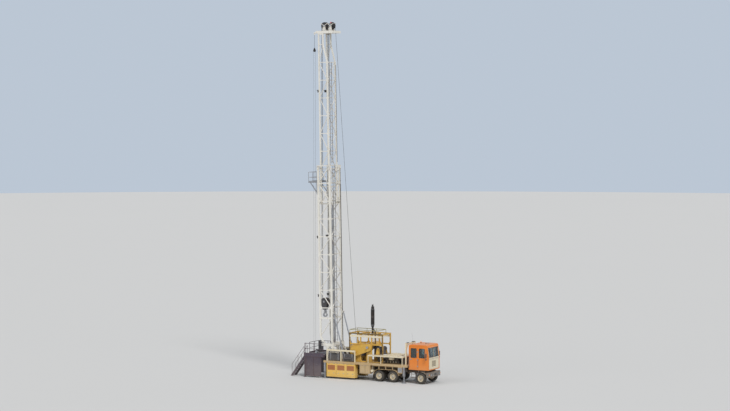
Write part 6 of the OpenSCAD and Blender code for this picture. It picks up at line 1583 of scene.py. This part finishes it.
# The table's bushing, plate, bolts and teeth, its drive, and the mouse hole.
bushing = [(0.264, 0), (0.305, 0), (0.305, 0.028), (0.298, 0.034), (0.270, 0.034), (0.264, 0.028)]
floor_iron.lathe(bushing, well + Vector((0, 0, 0.058)), UP, 72)
table_top = well + Vector((0, 0, 0.060))
floor_iron.lathe([(0.315, 0), (0.450, 0), (0.446, 0.014), (0.319, 0.014)], table_top, UP, 72)
floor_iron.bolts(circle(table_top, UP, 0.480, 16), UP, 0.014, 0.012)
for drive_hole in circle(well + Vector((0, 0, 0.074)), UP, 0.385, 4, math.pi / 4):
    floor_iron.ring(0.026, 0.044, 0.008, drive_hole, sides=24)
for tooth in circle(well, UP, 0.508, 60):
    floor_iron.box((tooth.x - 0.010, tooth.y - 0.010, floor_z + 0.006),
                   (tooth.x + 0.010, tooth.y + 0.010, floor_z + 0.050))
motor = [(0.002, 0), (0.13, 0), (0.13, 0.22), (0.10, 0.26), (0.10, 0.36), (0.002, 0.37)]
floor_iron.lathe(motor, (-0.70, 1.18, floor_z + 0.128), UP, 28)
floor_iron.bolts(grid((-0.80, -0.60), (0.58, 0.84, 1.30), floor_z + 0.13), UP, 0.011)
floor_iron.ring(0.085, 0.110, 0.42, (-1.45, -0.42, floor_z), sides=28)

# The driller's console with its dials and levers.
desk = [(-1.98, 0), (-1.66, 0), (-1.66, 0.92), (-1.80, 1.12), (-1.98, 1.12)]
console.side_plate([(x, floor_z + z) for x, z in desk], 0.86, 1.36)
slope = (0.82, 0, 0.57)
for k, y in enumerate(steps(0.94, 1.28, 4)):
    dial = (-1.73, y, floor_z + 1.02)
    console_dials.turned([(0.036, 0), (0.036, 0.008)], dial, slope, 20)
    floor_iron.ring(0.036, 0.044, 0.014, dial, slope, 20)
    floor_iron.rod((-1.66, y, floor_z + 0.80), (-1.60 - 0.01 * (k % 2), y, floor_z + 0.93), 0.008, 8)

# The stair's yellow nosings and its bolts, and the bolts and handles at the floor's sides.
for i in range(1, 10):
    x, z = -3.98 + i * 0.17, i * 0.23
    nosings.box((x - 0.052, stair_y0 + 0.045, z - 0.028), (x - 0.015, stair_y1 - 0.045, z + 0.003))
    kick.bolts([(x + 0.05, stair_y0, z - 0.02)], NEAR, 0.010)
landing_y0, landing_y1 = stair_y0 + 0.02, stair_y1 - 0.02
nosings.box((floor_x0 - 0.004, landing_y0, floor_z - 0.03), (floor_x0 + 0.05, landing_y1, floor_z + 0.004))
for side, out in ((-1, NEAR), (1, FAR)):
    edge_bolts = [(x, side * floor_y, floor_z - 0.14) for x in steps(floor_x0 + 0.15, floor_x1 - 0.15, 9)]
    floor_iron.bolts(edge_bolts, out, 0.013)
    for x in (-1.75, -0.85):
        handle = ((x - 0.06, 1.465), (x - 0.06, 1.50), (x + 0.06, 1.50), (x + 0.06, 1.465))
        floor_iron.hose([(hx, side * hy, 1.30) for hx, hy in handle], 0.007, 6)
make(kick, floor_iron, console, console_dials, nosings)


# Travelling block and hook. Heavy dark plates round three sheaves, with bolted caps and guards,
# and a forged steel hook with its latch. All of it rides on the block.
dress(oily_enamel, "travelling_block", edge=0.008)
dress(bare_steel, "hook", edge=0.006)
block_z, block_y = 7.448, -0.28
block_iron = Piece("block_fittings", bare_steel, edge=0.002)
block_dark = Piece("block_guards", oily_enamel, edge=0.002)
rim_bolts = arc((well_x, block_z), 0.345, -20, 200, 11)
block_iron.bolts(upright(rim_bolts, block_y), NEAR, 0.016, 0.014)
cheek_bolts = ((-0.10, 6.70), (0, 6.70), (0.10, 6.70))
block_iron.bolts([(well_x + dx, block_y, z) for dx, z in cheek_bolts], NEAR, 0.018, 0.016)
cap = [(0.056, 0.012), (0.105, 0.012), (0.105, 0.026), (0.075, 0.040), (0.002, 0.040), (0.002, 0.021),
       (0.056, 0.021)]
block_iron.lathe(cap, (well_x, block_y, block_z), NEAR, 32)
block_iron.bolts(circle((well_x, block_y - 0.030, block_z), NEAR, 0.090, 8), NEAR, 0.010, 0.010)
outer, inner = arc((well_x, block_z), 0.30, 0, 360, 49)[:-1], arc((well_x, block_z), 0.13, 0, 360, 33)[:-1]
block_dark.plate(upright(outer, block_y - 0.012), (0, 0.012, 0), [upright(inner, block_y - 0.012)])
mirror(block_iron, block_dark)
for x, z in arc((well_x, block_z), 0.375, 60, 120, 3):
    block_dark.pin((x, 0, z), FAR, 0.232, 0.010, 10)
block_iron.pin((well_x, 0, 6.75), FAR, 0.30, 0.05, 24)
for z in (6.36, 6.54):
    block_iron.ring(0.13, 0.142, 0.03, (well_x, 0, z), sides=36)
block_iron.bolts(circle((well_x, 0, 6.57), UP, 0.112, 8), UP, 0.012)
block_dark.bar((well_x + 0.19, 0, 6.20), (well_x + 0.075, 0, 6.365), 0.05, 0.035)
block_dark.pin((well_x + 0.075, 0, 6.37), FAR, 0.085, 0.016, 12)
make(block_iron, block_dark, body="block")


# Ropes. Greased wire rope with twisted strands. The falls hang between the crown and the block,
# and the wraps over the sheaves join them and the fixed lines.
dress(plumb_rope, "rigging_lines")
crown_top = foot_z + crown_x * math.sin(-mast_lean) + shaft_z * math.cos(mast_lean)
fall_length, hook_travel = crown_top - block_z, 22.5
falls = []
for i in (-1, 0, 1):
    for dx, i_top in ((-sheave_r, i), (sheave_r, i + 1)):
        falls.append([(well_x + dx, sheave_pitch * (i * (1 - t) + i_top * t), block_z + fall_length * t)
                      for t in steps(0, 1, 25)])
fall_ropes = rope_piece("drilling_falls", falls)
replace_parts(fall_ropes, "drilling_lines")
(crown_top - block_z - hook_travel) / (crown_top - block_z)
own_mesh(fall_ropes)


def half_turn(x, y, z, over):
    """The rope's way over or under a sheave."""
    way = 1 if over else -1
    return [(x - sheave_r * math.cos(a), y, z + way * sheave_r * math.sin(a)) for a in steps(0, math.pi, 25)]


over_crown = [half_turn(crown_x, i * sheave_pitch, shaft_z, True) for i in (-1, 0, 1)]
over_fast = half_turn(fast_x, fast_y, shaft_z, True)
rope_piece("crown_wraps", over_crown + [over_fast], where=mast)
rope_piece("block_wraps", [half_turn(well_x, i * sheave_pitch, block_z, False) for i in (-1, 0, 1)], "block")


# Studio. A pale matt floor, one soft lamp as the sun and a weaker one that fills its shadows,
# under a grey sky that shows pale blue to the camera. The camera takes the photograph's
# viewing angle, closer in.
view_azimuth, view_elevation = 28, 3
view_distance, sensor_width = 230.0, 36.0
rig_share, picture_shape = 0.87, 411 / 730
rig_height = cad_box[1][2] - cad_box[0][2]
target = Vector((0, 0, rig_height * 0.487))
floor_radius, floor_sides = 400, 96


def towards(azimuth, elevation):
    """The direction from the rig to a place at an azimuth and a height, both in degrees."""
    a, e = math.radians(azimuth), math.radians(elevation)
    return Vector((math.sin(a) * math.cos(e), -math.cos(a) * math.cos(e), math.sin(e)))


def stand(name, data, direction):
    """A lamp or a camera that looks at the rig from a direction."""
    made = bpy.data.objects.new(name, data)
    made.rotation_euler = direction.to_track_quat("Z", "Y").to_euler()
    bpy.context.scene.collection.objects.link(made)
    return made


def soft_sun(name, azimuth, elevation, strength, spread):
    """A broad lamp, far off, that shines towards the rig."""
    lamp = stand(name, bpy.data.lights.new(name, "SUN"), towards(azimuth, elevation))
    lamp.data.energy = strength
    lamp.data.angle = math.radians(spread)


back = towards(view_azimuth, view_elevation)
camera = stand("camera", bpy.data.cameras.new("camera"), back)
camera.location = target + back * view_distance
camera.data.sensor_width = sensor_width
camera.data.lens = sensor_width * picture_shape * view_distance * rig_share / rig_height
camera.data.clip_end = 2000.0
bpy.context.scene.camera = camera

floor_mesh = bpy.data.meshes.new("floor")
floor_angles = steps(0, 2 * math.pi, floor_sides + 1)[:-1]
floor_ring = [(floor_radius * math.cos(a), floor_radius * math.sin(a), 0) for a in floor_angles]
floor_mesh.from_pydata(floor_ring, [], [tuple(range(floor_sides))])
floor = bpy.data.objects.new("floor", floor_mesh)
bpy.context.scene.collection.objects.link(floor)
pale, place, normal = start_material("pale_floor")
patches = mix(noise(place, 0.02, 2.0) * 0.2, colour(0.62, 0.61, 0.59), colour(0.58, 0.57, 0.55))
end_material(place, patches, 0.9, noise(place, 4.0), 0.001)
floor_mesh.materials.append(pale)
soft_sun("key", 50, 46, 2.0, 14)
soft_sun("fill", -35, 30, 0.6, 40)

world = bpy.data.worlds.new("studio")
bpy.context.scene.world = world
world.use_nodes = True
world.node_tree.nodes.clear()
rays = world.node_tree.nodes.new("ShaderNodeLightPath").outputs
kinds = ("Is Camera Ray", "Is Glossy Ray", "Is Transmission Ray")
seen, shiny, through = [Socket(world.node_tree, rays[kind]) for kind in kinds]
in_view = seen.math("MAXIMUM", seen, seen.math("MAXIMUM", shiny, through))
sky = mix(in_view, colour(0.45, 0.47, 0.50), colour(0.50, 0.57, 0.66))
sky_light = sky.node("ShaderNodeBackground", {}, {"Color": sky, "Strength": 1.0})
sky.node("ShaderNodeOutputWorld", {}, {"Surface": sky_light})
bpy.context.scene.view_settings.view_transform = "Standard"
